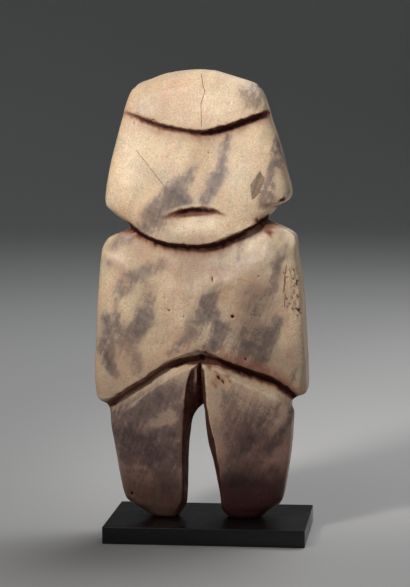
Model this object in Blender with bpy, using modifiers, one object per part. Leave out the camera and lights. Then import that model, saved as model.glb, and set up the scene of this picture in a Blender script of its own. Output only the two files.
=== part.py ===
"""
A standing stone figure, carved like an axe blank, on a thin black stand.

The figure is one stone. Its surface is a loft of closed rings round the body:
each ring runs across the front from the left flank to the right one and back
across the rear. At the crotch the ring parts into one ring for each leg, and
the walls of the gap between the legs close them. Rings follow the carved lines
(brow, mouth, chin, neck, shoulders, waist groove), so those edges stay crisp.

Metres, +Z up, the front faces -Y. The origin is the middle of the stand's underside.
"""
import math

import bmesh
import bpy
import numpy as np

# Driving dimensions of the figure
FIGURE_HEIGHT = 0.260
FIGURE_WIDTH = 0.123
FIGURE_DEPTH = 0.044
FIGURE_OFFSET = -0.004
SEAT_GAP = 0.0003

# Depths of the carving
BROW_CUT = 0.0062
BROW_LEFT_SHARE = 0.62
MOUTH_CUT = 0.0036
NECK_CUT = 0.0072
WAIST_CUT = 0.0076
LEG_SETBACK = 0.0022
BACK_NECK_CUT = 0.0040
BACK_WAIST_CUT = 0.0026
CROWN_ROUND = 0.0130
SLOT_EDGE_ROUND = 0.0022

# Driving dimensions of the stand
STAND_WIDTH = 0.116
STAND_DEPTH = 0.080
STAND_HEIGHT = 0.010
STAND_EDGE = 0.0006
STAND_EDGE_STEPS = 2

# Fineness of the loft: columns on each half of the front, rows between carved lines
HALF_COLUMNS = 16
SLOT_COLUMNS = 6
TRUNK_ROWS = (6, 2, 8, 6, 4, 4, 11, 4)
LEG_ROWS = (4, 11, 5)
FINE_STEPS = 4001
SETTLING_ROUNDS = 12

# Colours of the two materials
STONE_COLOUR = (0.60, 0.49, 0.35, 1.0)
STAND_COLOUR = (0.012, 0.011, 0.012, 1.0)

# Outline of the body: (share of the height, distance from the centre line as a share of half the width)
LEFT_OUTLINE = (
    (0.000, 0.470), (0.009, 0.540), (0.022, 0.630), (0.031, 0.705), (0.049, 0.749), (0.110, 0.801),
    (0.172, 0.842), (0.213, 0.872), (0.240, 0.880), (0.252, 0.908), (0.262, 0.965), (0.275, 0.998),
    (0.300, 1.007), (0.335, 1.011), (0.407, 0.998), (0.479, 0.984), (0.551, 0.962), (0.599, 0.946),
    (0.619, 0.914), (0.632, 0.871), (0.640, 0.775), (0.648, 0.676), (0.656, 0.692), (0.666, 0.747),
    (0.686, 0.856), (0.699, 0.905), (0.713, 0.915), (0.726, 0.910), (0.766, 0.886), (0.806, 0.851),
    (0.886, 0.761), (0.926, 0.717), (0.953, 0.676), (0.961, 0.655))
RIGHT_OUTLINE = (
    (0.000, 0.530), (0.006, 0.582), (0.017, 0.640), (0.032, 0.738), (0.052, 0.778), (0.114, 0.822),
    (0.175, 0.852), (0.216, 0.862), (0.236, 0.864), (0.250, 0.842), (0.262, 0.846), (0.277, 0.912),
    (0.284, 0.977), (0.292, 1.000), (0.338, 0.997), (0.410, 0.979), (0.482, 0.959), (0.554, 0.931),
    (0.614, 0.898), (0.634, 0.880), (0.647, 0.812), (0.654, 0.747), (0.660, 0.679), (0.667, 0.615),
    (0.687, 0.679), (0.700, 0.719), (0.707, 0.783), (0.714, 0.824), (0.727, 0.840), (0.767, 0.807),
    (0.847, 0.712), (0.887, 0.655), (0.926, 0.609), (0.953, 0.566), (0.961, 0.542))

# Crown of the head: (place across, from flank to flank, share of the height)
CROWN = (
    (-1.000, 0.955), (-0.950, 0.966), (-0.750, 0.979), (-0.500, 0.992), (-0.200, 0.999), (0.000, 1.000),
    (0.150, 0.999), (0.350, 0.993), (0.680, 0.9805), (0.850, 0.9735), (0.950, 0.967), (1.000, 0.955))

# Carved lines of the front: (place across as a share of half the width, share of the height)
BROW_LINE = ((-0.70, 0.910), (-0.49, 0.893), (-0.32, 0.880), (-0.15, 0.872), (0.02, 0.868),
             (0.15, 0.873), (0.28, 0.882), (0.47, 0.898), (0.66, 0.915))
MOUTH_LINE = ((-0.92, 0.742), (-0.60, 0.703), (-0.36, 0.681), (-0.18, 0.694), (0.00, 0.699),
              (0.13, 0.697), (0.27, 0.686), (0.50, 0.706), (0.84, 0.748))
CHIN_LINE = ((-0.92, 0.716), (-0.81, 0.690), (-0.63, 0.660), (-0.40, 0.629), (-0.24, 0.620), (-0.05, 0.617),
             (0.09, 0.621), (0.28, 0.639), (0.42, 0.652), (0.63, 0.677), (0.72, 0.701), (0.84, 0.718))
NECK_LINE = ((-0.68, 0.648), (-0.40, 0.613), (-0.20, 0.604), (-0.04, 0.602), (0.10, 0.606), (0.30, 0.622),
             (0.62, 0.667))
CHEST_LINE = ((-0.95, 0.590), (-0.65, 0.556), (-0.40, 0.525), (-0.04, 0.505), (0.28, 0.528), (0.60, 0.570),
              (0.90, 0.604))
WAIST_LINE = ((-1.00, 0.270), (-0.87, 0.272), (-0.70, 0.294), (-0.53, 0.319), (-0.29, 0.359), (-0.11, 0.378),
              (0.00, 0.384), (0.10, 0.380), (0.26, 0.360), (0.48, 0.342), (0.68, 0.326), (0.86, 0.301),
              (1.00, 0.287))
GROOVE_LINE = ((-0.98, 0.247), (-0.87, 0.256), (-0.70, 0.282), (-0.53, 0.308), (-0.29, 0.346), (-0.11, 0.357),
               (0.00, 0.358), (0.10, 0.357), (0.26, 0.344), (0.48, 0.325), (0.68, 0.309), (0.84, 0.282),
               (0.93, 0.257))
THIGH_LINE = ((-0.88, 0.216), (-0.78, 0.230), (-0.64, 0.258), (-0.51, 0.284), (-0.24, 0.325), (-0.07, 0.345),
              (0.07, 0.349), (0.16, 0.342), (0.35, 0.315), (0.61, 0.288), (0.81, 0.260), (0.87, 0.240))

# Lines of the back, at the left flank, the middle and the right flank
BACK_HEIGHTS = ((0.908, 0.905, 0.915), (0.898, 0.893, 0.903), (0.742, 0.735, 0.748), (0.714, 0.700, 0.718),
                (0.648, 0.652, 0.667), (0.606, 0.610, 0.622), (0.270, 0.345, 0.287), (0.247, 0.330, 0.257),
                (0.216, 0.312, 0.238))

# Gap between the legs: (share of the way down from its top, half gap as a share of half the width)
LEFT_GAP = ((0.00, 0.000), (0.08, 0.082), (0.17, 0.118), (0.25, 0.132), (0.52, 0.158), (0.79, 0.165),
            (0.88, 0.172), (0.93, 0.206), (1.00, 0.275))
RIGHT_GAP = ((0.00, 0.000), (0.08, 0.021), (0.20, 0.030), (0.27, 0.040), (0.37, 0.060), (0.52, 0.113),
             (0.67, 0.152), (0.82, 0.186), (0.92, 0.199), (1.00, 0.280))
SLOT_WAIST_HEIGHT = 0.250
SLOT_WAIST_SHARE = 0.14
SLOT_WAIST_POWER = 1.6
SLOT_EDGE_SHARE = 0.16
SLOT_MOUTH_SHARE = 0.08

# Side view: (share of the height, share of the depth in front of or behind the flank line)
FRONT_PROFILE = ((0.00, 0.30), (0.06, 0.345), (0.15, 0.390), (0.25, 0.430), (0.33, 0.470), (0.45, 0.500),
                 (0.56, 0.485), (0.62, 0.490), (0.68, 0.500), (0.78, 0.480), (0.87, 0.465), (0.95, 0.380),
                 (1.00, 0.330))
BACK_PROFILE = ((0.00, 0.29), (0.06, 0.330), (0.15, 0.370), (0.25, 0.410), (0.35, 0.460), (0.48, 0.490),
                (0.60, 0.455), (0.65, 0.420), (0.72, 0.430), (0.85, 0.420), (0.95, 0.360), (1.00, 0.320))
SQUARENESS = ((0.00, 3.4), (0.20, 6.0), (0.45, 8.5), (0.60, 6.0), (0.66, 4.6), (0.80, 5.0), (1.00, 4.0))

# Run of each carved edge, as shares of the height: the steep side, then the side that fades out
BROW_RUN = (0.012, 0.180)
# Where the brow deepens to the right: its start and its run, as shares of half the width
BROW_TURN = (-0.15, 0.30)
MOUTH_RUN = (0.010, 0.052)
BACK_NECK_RUN = (0.040, 0.060)
BACK_ARCH = 1.5
MOUTH_CENTRE = -0.045
MOUTH_HALF = 0.37
MOUTH_FLAT = 0.05
MID_HEIGHT = 0.45
SOLE_SHARE = 0.60
SOLE_ROUND = 0.030


def smooth(value):
    """Runs from 0 to 1 with level ends, and stays there outside."""
    share = np.clip(value, 0.0, 1.0)
    return share * share * (3.0 - 2.0 * share)


def through(points, place):
    """A smooth line through (place, value) points: cubic pieces whose slopes never overshoot."""
    known, values = np.array(points, dtype=float).T
    steps = np.diff(known)
    slopes = np.diff(values) / steps
    product = slopes[:-1] * slopes[1:]
    total = slopes[:-1] + slopes[1:]
    inner = np.where(product > 0.0, 2.0 * product / np.where(total == 0.0, 1.0, total), 0.0)
    tangents = np.concatenate(([slopes[0]], inner, [slopes[-1]]))
    place = np.clip(place, known[0], known[-1])
    piece = np.clip(np.searchsorted(known, place, side="right") - 1, 0, len(steps) - 1)
    width = steps[piece]
    share = (place - known[piece]) / width
    rise = share * share * (3.0 - 2.0 * share)
    start_bend = share * (1.0 - share) ** 2 * width
    end_bend = share * share * (share - 1.0) * width
    return (values[piece] + (values[piece + 1] - values[piece]) * rise
            + tangents[piece] * start_bend + tangents[piece + 1] * end_bend)


def ledge(drop, run):
    """A cut below an edge: 0 above it, 1 at the foot of its steep side, then fading out."""
    steep, fade = run
    return smooth(drop / steep) * (1.0 - smooth((drop - steep) / fade))


def groove(height, lines, cut):
    """A sawn groove: a steep wall down to its bottom line, then a flat slope out to the thigh."""
    edge, bottom, thigh = lines
    wall = smooth((edge - height) / (edge - bottom))
    slope = np.clip((bottom - height) / (bottom - thigh), 0.0, 1.0)
    return cut * wall * (1.0 - slope) + LEG_SETBACK * slope


def across(share, height):
    """Place across the body, in shares of half the width, of a share from the centre line to the flank."""
    left = through(LEFT_OUTLINE, height)
    right = through(RIGHT_OUTLINE, height)
    return np.where(share < 0.0, share * left, share * right)


def section_round(share, height):
    """Depth of the cross-section, from 1 in the middle to 0 at the flank: a squared oval."""
    power = through(SQUARENESS, height)
    return np.clip(1.0 - np.abs(share) ** power, 0.0, 1.0) ** (1.0 / power)


def front_carving(place, height):
    """How deep the front is cut at a place across and a height, in metres."""
    brow_share = BROW_LEFT_SHARE + (1.0 - BROW_LEFT_SHARE) * smooth((place - BROW_TURN[0]) / BROW_TURN[1])
    brow = BROW_CUT * brow_share * ledge(through(BROW_LINE, place) - height, BROW_RUN)
    mouth_width = 1.0 - smooth((np.abs(place - MOUTH_CENTRE) - MOUTH_FLAT) / (MOUTH_HALF - MOUTH_FLAT))
    mouth = MOUTH_CUT * mouth_width * ledge(through(MOUTH_LINE, place) - height, MOUTH_RUN)
    chin, neck_bottom, chest = [through(line, place) for line in (CHIN_LINE, NECK_LINE, CHEST_LINE)]
    under_chin = smooth((chin - height) / (chin - neck_bottom))
    neck = NECK_CUT * under_chin * (1.0 - smooth((neck_bottom - height) / (neck_bottom - chest)))
    waist_lines = [through(line, place) for line in (WAIST_LINE, GROOVE_LINE, THIGH_LINE)]
    return brow + mouth + neck + groove(height, waist_lines, WAIST_CUT)


def back_line(heights, share):
    """Height of a line of the back at a share from the centre line to the flank."""
    left, middle, right = heights
    flank = np.where(share < 0.0, left, right)
    return middle + (flank - middle) * np.abs(share) ** BACK_ARCH


def back_carving(share, height):
    """How deep the plainer back is cut: a soft neck and a shallow line at the waist."""
    neck = BACK_NECK_CUT * ledge(BACK_HEIGHTS[3][1] - height, BACK_NECK_RUN)
    waist_lines = [back_line(heights, share) for heights in BACK_HEIGHTS[6:]]
    return neck + groove(height, waist_lines, BACK_WAIST_CUT)


def column_shares():
    """Shares from flank to flank, spaced evenly along a cross-section at mid height."""
    fine = -np.cos(np.linspace(0.0, math.pi, FINE_STEPS))
    depth = section_round(fine, np.full_like(fine, MID_HEIGHT)) * FIGURE_DEPTH / FIGURE_WIDTH
    length = np.concatenate(([0.0], np.cumsum(np.hypot(np.diff(fine), np.diff(depth)))))
    shares = np.interp(np.linspace(0.0, length[-1], 2 * HALF_COLUMNS + 1), length, fine)
    shares[HALF_COLUMNS] = 0.0
    return shares


def line_heights(line, shares):
    """Height of a carved line in each column, in a few rounds, because the width changes with the height."""
    height = np.full_like(shares, np.mean([point[1] for point in line]))
    for _ in range(SETTLING_ROUNDS):
        height = 0.5 * (height + through(line, across(shares, height)))
    return height


def guide_rows(shares):
    """Heights of the carved lines in every column round the body, front first, then the back."""
    front_lines = (BROW_LINE, None, MOUTH_LINE, CHIN_LINE, NECK_LINE, CHEST_LINE, WAIST_LINE, GROOVE_LINE,
                   THIGH_LINE)
    crown = through(CROWN, shares)
    back_shares = shares[-2:0:-1]
    rows = [np.concatenate((crown, crown[-2:0:-1]))]
    brow = line_heights(BROW_LINE, shares)
    for line, (_, middle, _) in zip(front_lines, BACK_HEIGHTS):
        front = brow - BROW_RUN[0] if line is None else line_heights(line, shares)
        back = back_line((front[0], middle, front[-1]), back_shares)
        rows.append(np.concatenate((front, back)))
    return np.array(rows)


def spread(guides, counts):
    """Rows of heights between guide rows, with the given count of steps in each interval."""
    rows = [guides[:1]]
    for upper, lower, count in zip(guides[:-1], guides[1:], counts):
        share = np.linspace(0.0, 1.0, count + 1)[1:, None]
        rows.append(upper + (lower - upper) * share)
    return np.concatenate(rows)


def depth_at(share, place, height, is_front, slot_edge=1.0):
    """Depth (y) of the surface in metres, negative in front."""
    front = FIGURE_DEPTH * through(FRONT_PROFILE, height) - front_carving(place, height)
    back = FIGURE_DEPTH * through(BACK_PROFILE, height) - back_carving(share, height)
    crown_drop = (through(CROWN, share) - height) * FIGURE_HEIGHT / CROWN_ROUND
    crown = np.sqrt(1.0 - (1.0 - np.clip(crown_drop, 0.0, 1.0)) ** 2)
    sole_rise = np.clip(height / SOLE_ROUND, 0.0, 1.0)
    sole = SOLE_SHARE + (1.0 - SOLE_SHARE) * np.sqrt(1.0 - (1.0 - sole_rise) ** 2)
    rounding = section_round(share, height) * crown * sole * slot_edge
    return np.where(is_front, -front, back) * rounding


def to_metres(place, depth, height):
    """Points in metres from a place across, a depth and a height share."""
    foot = STAND_HEIGHT + SEAT_GAP
    x = FIGURE_OFFSET + place * FIGURE_WIDTH / 2.0
    return np.stack((x, depth, foot + height * FIGURE_HEIGHT), axis=-1)


def trunk_points(shares, guides):
    """Rings of the head and torso, from the ridge of the crown down to the crotch."""
    ring_shares = np.concatenate((shares, shares[-2:0:-1]))
    is_front = np.arange(len(ring_shares)) < len(shares)
    heights = spread(guides[:len(TRUNK_ROWS) + 1], TRUNK_ROWS)
    share_grid = np.broadcast_to(ring_shares, heights.shape)
    place = across(share_grid, heights)
    return to_metres(place, depth_at(share_grid, place, heights, is_front), heights)


def leg_columns(side, ring):
    """Columns of one leg in the trunk's rings: from its outer flank to the middle, in front and behind."""
    last = 2 * HALF_COLUMNS
    front = np.arange(HALF_COLUMNS + 1) if side < 0 else np.arange(last, HALF_COLUMNS - 1, -1)
    return front, (ring - front) % ring


def leg_points(guides, shares, side):
    """Rings of one leg below the crotch: outer flank, front, wall of the gap, back."""
    ring = guides.shape[1]
    front, back = leg_columns(side, ring)
    sole = np.zeros((1, ring))
    toe = np.full((1, ring), SOLE_ROUND)
    leg_guides = np.concatenate((guides[len(TRUNK_ROWS):], toe, sole))
    heights = spread(leg_guides, LEG_ROWS)
    gap_line = LEFT_GAP if side < 0 else RIGHT_GAP
    outline = LEFT_OUTLINE if side < 0 else RIGHT_OUTLINE
    surfaces = []
    for chosen, is_front in ((front, True), (back, False)):
        height = heights[:, chosen]
        share = np.abs(shares[front])
        inner = height[:, -1:]
        down = 1.0 - inner / inner[0]
        gap = through(gap_line, down)
        place = gap + share * (through(outline, height) - gap)
        from_gap = (place - gap) * FIGURE_WIDTH / 2.0
        worn = np.clip(from_gap / SLOT_EDGE_ROUND, 0.0, 1.0)
        opened = smooth(down / SLOT_MOUTH_SHARE)
        slot_edge = 1.0 - SLOT_EDGE_SHARE * opened * (1.0 - np.sqrt(1.0 - (1.0 - worn) ** 2))
        signed = np.broadcast_to(side * share, height.shape)
        depth = depth_at(signed, side * place, height, is_front, slot_edge)
        surfaces.append(to_metres(side * place, depth, height))
    front_points, back_points = surfaces
    start = front_points[:, -1]
    end = back_points[:, -1]
    along = np.linspace(0.0, 1.0, SLOT_COLUMNS + 1)[1:-1]
    inward = 1.0 - np.abs(2.0 * along - 1.0) ** SLOT_WAIST_POWER
    foot = STAND_HEIGHT + SEAT_GAP
    straight = start[:, None] + (end - start)[:, None] * along[None, :, None]
    slot_top = straight[0, :, 2] + (foot + SLOT_WAIST_HEIGHT * FIGURE_HEIGHT - straight[0, :, 2]) * inward
    down = (1.0 - (start[:, 2] - foot) / (start[0, 2] - foot))[:, None]
    wall = straight.copy()
    wall[..., 2] = foot + (slot_top - foot) * (1.0 - down)
    wall[..., 0] = FIGURE_OFFSET + (straight[..., 0] - FIGURE_OFFSET) * (1.0 - SLOT_WAIST_SHARE * inward)
    inner_back = back_points[:, ::-1]
    return np.concatenate((front_points, wall, inner_back[:, :-1]), axis=1)


def ring_faces(index):
    """Four-sided faces between neighbouring rings of point numbers."""
    beside = np.roll(index, -1, axis=1)
    quads = np.stack((index[:-1], index[1:], beside[1:], beside[:-1]), axis=-1).reshape(-1, 4)
    return quads.tolist()


def figure_mesh():
    """The whole stone: trunk rings, two legs, and the soles."""
    shares = column_shares()
    guides = guide_rows(shares)
    trunk = trunk_points(shares, guides)
    rows, ring = trunk.shape[:2]
    trunk_index = np.arange(rows * ring).reshape(rows, ring)
    front_count = len(shares)
    trunk_index[0, front_count:] = trunk_index[0, front_count - 2:0:-1]
    points = [trunk.reshape(-1, 3)]
    faces = ring_faces(trunk_index)
    used = rows * ring
    crotch_wall = None
    for side in (-1, 1):
        leg = leg_points(guides, shares, side)
        leg_rows, leg_ring = leg.shape[:2]
        index = used + np.arange(leg_rows * leg_ring).reshape(leg_rows, leg_ring)
        front, back = leg_columns(side, ring)
        wall_start = HALF_COLUMNS + 1
        wall_end = wall_start + SLOT_COLUMNS - 1
        index[0, :wall_start] = trunk_index[-1, front]
        index[0, wall_end:] = trunk_index[-1, back[::-1]][:-1]
        if crotch_wall is None:
            crotch_wall = index[0, wall_start:wall_end].copy()
        index[0, wall_start:wall_end] = crotch_wall
        points.append(leg.reshape(-1, 3))
        used += leg_rows * leg_ring
        leg_faces = ring_faces(index) + [index[-1].tolist()[::-1]]
        faces += leg_faces if side < 0 else [face[::-1] for face in leg_faces]
    return np.concatenate(points), faces


def add_object(name, mesh, collection, colour, roughness, metallic=0.0):
    """Puts a mesh in the collection as a named object with a Principled material of its own."""
    material = bpy.data.materials.new(name)
    material.use_nodes = True
    shader = material.node_tree.nodes["Principled BSDF"]
    shader.inputs["Base Color"].default_value = colour
    shader.inputs["Roughness"].default_value = roughness
    shader.inputs["Metallic"].default_value = metallic
    material.diffuse_color = colour
    mesh.materials.append(material)
    part = bpy.data.objects.new(name, mesh)
    collection.objects.link(part)
    return part


def make_figure(collection):
    """The carved stone, standing on its two soles."""
    points, faces = figure_mesh()
    mesh = bpy.data.meshes.new("stone_figure")
    mesh.from_pydata(points.tolist(), [], faces)
    shape = bmesh.new()
    shape.from_mesh(mesh)
    bmesh.ops.delete(shape, geom=[point for point in shape.verts if not point.link_faces], context="VERTS")
    bmesh.ops.triangulate(shape, faces=[face for face in shape.faces if len(face.verts) == 4])
    shape.to_mesh(mesh)
    shape.free()
    mesh.shade_smooth()
    mesh.set_sharp_from_angle(angle=math.radians(40.0))
    return add_object("stone_figure", mesh, collection, STONE_COLOUR, 0.55)


def make_stand(collection):
    """The thin black slab under the feet, with finely broken edges."""
    mesh = bpy.data.meshes.new("display_stand")
    shape = bmesh.new()
    bmesh.ops.create_cube(shape, size=1.0)
    bmesh.ops.scale(shape, vec=(STAND_WIDTH, STAND_DEPTH, STAND_HEIGHT), verts=shape.verts)
    bmesh.ops.translate(shape, vec=(0.0, 0.0, STAND_HEIGHT / 2.0), verts=shape.verts)
    shape.to_mesh(mesh)
    shape.free()
    stand = add_object("display_stand", mesh, collection, STAND_COLOUR, 0.25)
    edge = stand.modifiers.new("broken edges", "BEVEL")
    edge.width = STAND_EDGE
    edge.segments = STAND_EDGE_STEPS
    return stand


def main():
    for old in list(bpy.data.objects):
        bpy.data.objects.remove(old, do_unlink=True)
    collection = bpy.data.collections.new("standing stone figure")
    bpy.context.scene.collection.children.link(collection)
    make_stand(collection)
    make_figure(collection)


main()
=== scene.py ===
# %% [markdown]
# # A standing stone figure, carved like an axe blank, on a thin black stand
# The real object is one flat, veined stone. A person ground it into the outline of an axe blank and then
# cut a few straight grooves into it: a brow, a mouth, a chin, a neck, a waist and the gap between two legs.
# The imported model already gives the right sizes. This script makes the surface that the eye sees: a finer
# skin with wear, chips and pits, and materials for the stone and for the black slab.

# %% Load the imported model
import math

import bpy
import numpy as np
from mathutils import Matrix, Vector


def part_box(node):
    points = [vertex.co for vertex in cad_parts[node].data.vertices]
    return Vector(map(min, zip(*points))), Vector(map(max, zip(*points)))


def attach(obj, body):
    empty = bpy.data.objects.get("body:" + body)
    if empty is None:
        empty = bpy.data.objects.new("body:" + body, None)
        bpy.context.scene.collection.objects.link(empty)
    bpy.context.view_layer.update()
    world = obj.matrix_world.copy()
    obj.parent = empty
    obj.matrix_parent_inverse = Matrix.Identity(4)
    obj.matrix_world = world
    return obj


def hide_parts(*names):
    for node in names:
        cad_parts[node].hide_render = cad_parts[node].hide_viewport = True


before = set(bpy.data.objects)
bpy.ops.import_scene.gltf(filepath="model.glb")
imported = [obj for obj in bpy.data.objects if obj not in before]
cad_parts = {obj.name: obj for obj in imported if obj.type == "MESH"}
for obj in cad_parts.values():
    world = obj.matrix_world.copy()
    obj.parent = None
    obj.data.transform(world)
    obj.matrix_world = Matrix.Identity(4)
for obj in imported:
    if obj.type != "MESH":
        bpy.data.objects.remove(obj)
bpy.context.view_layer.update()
figure_low, figure_high = [np.array(corner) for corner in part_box("stone_figure")]
stand_low, stand_high = [np.array(corner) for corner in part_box("display_stand")]
print("figure size in mm", np.round(1000.0 * (figure_high - figure_low), 1))

# %% [markdown]
# ## The camera
# The photograph was taken from almost straight ahead, a little to the figure's left and a little above its
# middle, with a long lens. A camera is easiest to place by two angles, a distance and the point it looks at.
# The lens then follows from how many metres one pixel of the picture covers at that distance.

# %% Camera
PICTURE_HEIGHT = 587
METRES_PER_PIXEL = 0.00058
SENSOR_SIZE = 36.0
CAMERA_AZIMUTH = math.radians(6.0)
CAMERA_ELEVATION = math.radians(5.5)
CAMERA_DISTANCE = 1.35
CAMERA_TARGET = np.array((-0.0030, 0.0, 0.1405))


def towards(azimuth, elevation):
    """Unit vector from the object to a viewer: azimuth turns from -Y towards +X, elevation lifts it."""
    level = math.cos(elevation)
    return np.array((math.sin(azimuth) * level, -math.cos(azimuth) * level, math.sin(elevation)))


def aim(thing, place, target):
    """Stands an object at a place and turns its -Z axis to the target, with +Y kept upward."""
    thing.location = place
    thing.rotation_euler = (Vector(target) - Vector(place)).to_track_quat("-Z", "Y").to_euler()


camera_data = bpy.data.cameras.new("camera")
camera_data.sensor_width = SENSOR_SIZE
camera_data.lens = SENSOR_SIZE * CAMERA_DISTANCE / (METRES_PER_PIXEL * PICTURE_HEIGHT)
camera_data.clip_start = 0.05
camera_data.clip_end = 30.0
camera = bpy.data.objects.new("camera", camera_data)
bpy.context.scene.collection.objects.link(camera)
aim(camera, CAMERA_TARGET + CAMERA_DISTANCE * towards(CAMERA_AZIMUTH, CAMERA_ELEVATION), CAMERA_TARGET)
bpy.context.scene.camera = camera
print("lens in mm", round(camera_data.lens, 1))

# %% [markdown]
# ## Light and floor
# One round lamp from the left does most of the work, because it makes the brow, the mouth and the waist
# groove read by their shadows. It is a spot aimed at the forehead, so its light fades from the head down to
# the feet as in the photograph. A wide lamp above and behind draws the thin bright rim along the crown and
# the shoulders and lights the floor. Two weak wide lamps in front keep the shadows from going black. The
# floor is a pale disc that curves up into a wall far behind: a profile carried round a circle, so every view
# has the same quiet background.

# %% Lamps and world
KEY_CONE = math.radians(33.0)
LIGHT_AIM = (0.0, 0.0, 0.15)
# Each lamp: name, kind, place, point it is aimed at, size or radius in metres, power and colour.
LAMPS = (
    ("key lamp", "SPOT", (-0.33, -0.62, 0.60), (-0.034, 0.0, 0.266), 0.075, 25.0, (1.0, 0.97, 0.93)),
    ("back lamp", "AREA", (0.50, 0.80, 1.50), LIGHT_AIM, 1.20, 13.0, (0.97, 0.98, 1.0)),
    ("sky lamp", "AREA", (-0.35, -0.75, 1.10), LIGHT_AIM, 0.50, 1.4, (1.0, 0.98, 0.96)),
    ("fill lamp", "AREA", (0.75, -0.70, 0.30), LIGHT_AIM, 0.60, 0.50, (0.93, 0.96, 1.0)))
AIR_COLOUR = (0.80, 0.84, 0.90, 1.0)
AIR_STRENGTH = 0.08

for name, kind, place, target, size, power, colour in LAMPS:
    lamp_data = bpy.data.lights.new(name, kind)
    lamp_data.energy = power
    lamp_data.color = colour
    if kind == "SPOT":
        lamp_data.shadow_soft_size = size
        lamp_data.spot_size = KEY_CONE
        lamp_data.spot_blend = 1.0
    else:
        lamp_data.size = size
    lamp = bpy.data.objects.new(name, lamp_data)
    bpy.context.scene.collection.objects.link(lamp)
    aim(lamp, place, target)
    print(name, power, "W")
world = bpy.data.worlds.new("studio air")
world.use_nodes = True
air = world.node_tree.nodes["Background"].inputs
air["Color"].default_value = AIR_COLOUR
air["Strength"].default_value = AIR_STRENGTH
bpy.context.scene.world = world
bpy.context.scene.view_settings.view_transform = "Standard"

# %% Helpers for meshes and curves


def smooth(value):
    """Runs from 0 to 1 as 3t^2 - 2t^3, level at both ends, and stays there outside."""
    share = np.clip(value, 0.0, 1.0)
    return share * share * (3.0 - 2.0 * share)


def through(points, place):
    """A smooth line through (place, value) points: cubic pieces whose slopes never overshoot."""
    known, values = np.array(points, dtype=float).T
    steps = np.diff(known)
    slopes = np.diff(values) / steps
    product = slopes[:-1] * slopes[1:]
    total = slopes[:-1] + slopes[1:]
    inner = np.where(product > 0.0, 2.0 * product / np.where(total == 0.0, 1.0, total), 0.0)
    tangents = np.concatenate(([slopes[0]], inner, [slopes[-1]]))
    place = np.clip(place, known[0], known[-1])
    piece = np.clip(np.searchsorted(known, place, side="right") - 1, 0, len(steps) - 1)
    width = steps[piece]
    share = (place - known[piece]) / width
    rise = share * share * (3.0 - 2.0 * share)
    start_bend = share * (1.0 - share) ** 2 * width
    end_bend = share * share * (share - 1.0) * width
    return (values[piece] + (values[piece + 1] - values[piece]) * rise
            + tangents[piece] * start_bend + tangents[piece + 1] * end_bend)


def make_piece(name, points, faces):
    """A smooth-shaded mesh object at the origin from an array of points and a list of faces."""
    mesh = bpy.data.meshes.new(name)
    mesh.from_pydata(points.tolist(), [], faces)
    mesh.update()
    mesh.shade_smooth()
    piece = bpy.data.objects.new(name, mesh)
    bpy.context.scene.collection.objects.link(piece)
    print(name, len(points), "points", len(faces), "faces")
    return piece


def sheet_faces(index):
    """Four-sided faces of a grid of point numbers."""
    quads = np.stack((index[:-1, :-1], index[1:, :-1], index[1:, 1:], index[:-1, 1:]), axis=-1)
    return quads.reshape(-1, 4).tolist()


def ring_faces(index):
    """The same for rows that are closed rings: the first column comes again after the last."""
    return sheet_faces(np.concatenate((index, index[:, :1]), axis=1))


# %% Floor
FLOOR_RADIUS = 2.6
COVE_RADIUS = 1.0
WALL_HEIGHT = 2.4
FLOOR_STEPS = 96


def cove_profile():
    """(radius, height) pairs: flat floor, then a quarter circle, then an upright wall."""
    turn = np.linspace(0.0, math.pi / 2.0, 25)
    curve = np.stack((FLOOR_RADIUS + COVE_RADIUS * np.sin(turn), COVE_RADIUS * (1.0 - np.cos(turn))), axis=1)
    flat = np.stack((np.linspace(0.05, FLOOR_RADIUS, 12)[:-1], np.zeros(11)), axis=1)
    return np.concatenate((flat, curve, [(FLOOR_RADIUS + COVE_RADIUS, WALL_HEIGHT)]))


def make_floor():
    """The cove profile carried round the upright axis, with its middle closed by one flat face."""
    profile = cove_profile()
    turn = np.linspace(0.0, 2.0 * math.pi, FLOOR_STEPS, endpoint=False)
    points = np.stack((profile[:, :1] * np.cos(turn), profile[:, :1] * np.sin(turn),
                       np.broadcast_to(profile[:, 1:], (len(profile), FLOOR_STEPS))), axis=-1)
    index = np.arange(points.shape[0] * FLOOR_STEPS).reshape(points.shape[:2])
    faces = ring_faces(index) + [index[0].tolist()]
    return make_piece("studio floor", points.reshape(-1, 3), faces)


floor = make_floor()

# %% [markdown]
# ## The shape of the stone
# Seen from the front the figure is an outline with straight-cut lines across it. Seen from the side it is a
# thin, slightly swollen slab. So one point of the surface needs only two numbers: a height, and a share of
# the way from the centre line to the flank. The outline turns the share into a width, a squared oval turns
# it into a depth, and the carving is taken away from the depth. Rows of the grid follow the carved lines,
# so a sharp edge always has a row of points exactly on it.

# %% Outline, crown and side view
def thousandths(*pairs):
    """Pairs of shares, written as whole thousandths."""
    return np.array(pairs) / 1000.0


# Each pair is a share of the height, then a share of half the width from the centre line.
LEFT_OUTLINE = thousandths(
    (0, 470), (9, 540), (22, 630), (31, 705), (49, 749), (110, 801), (172, 842), (213, 872), (240, 880),
    (252, 908), (262, 965), (275, 998), (300, 1007), (335, 1011), (407, 998), (479, 984), (551, 962),
    (599, 946), (619, 914), (632, 871), (640, 775), (648, 676), (656, 692), (666, 747), (686, 856),
    (699, 905), (713, 915), (726, 910), (766, 886), (806, 851), (886, 761), (926, 717), (953, 676),
    (961, 655))
RIGHT_OUTLINE = thousandths(
    (0, 530), (6, 582), (17, 640), (32, 738), (52, 778), (114, 822), (175, 852), (216, 862), (236, 864),
    (250, 842), (262, 846), (277, 912), (284, 977), (292, 1000), (338, 997), (410, 979), (482, 959),
    (554, 931), (614, 898), (634, 880), (647, 812), (654, 747), (660, 679), (667, 615), (687, 679),
    (700, 719), (707, 783), (714, 824), (727, 840), (767, 807), (847, 712), (887, 655), (926, 609),
    (953, 566), (961, 542))
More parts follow.
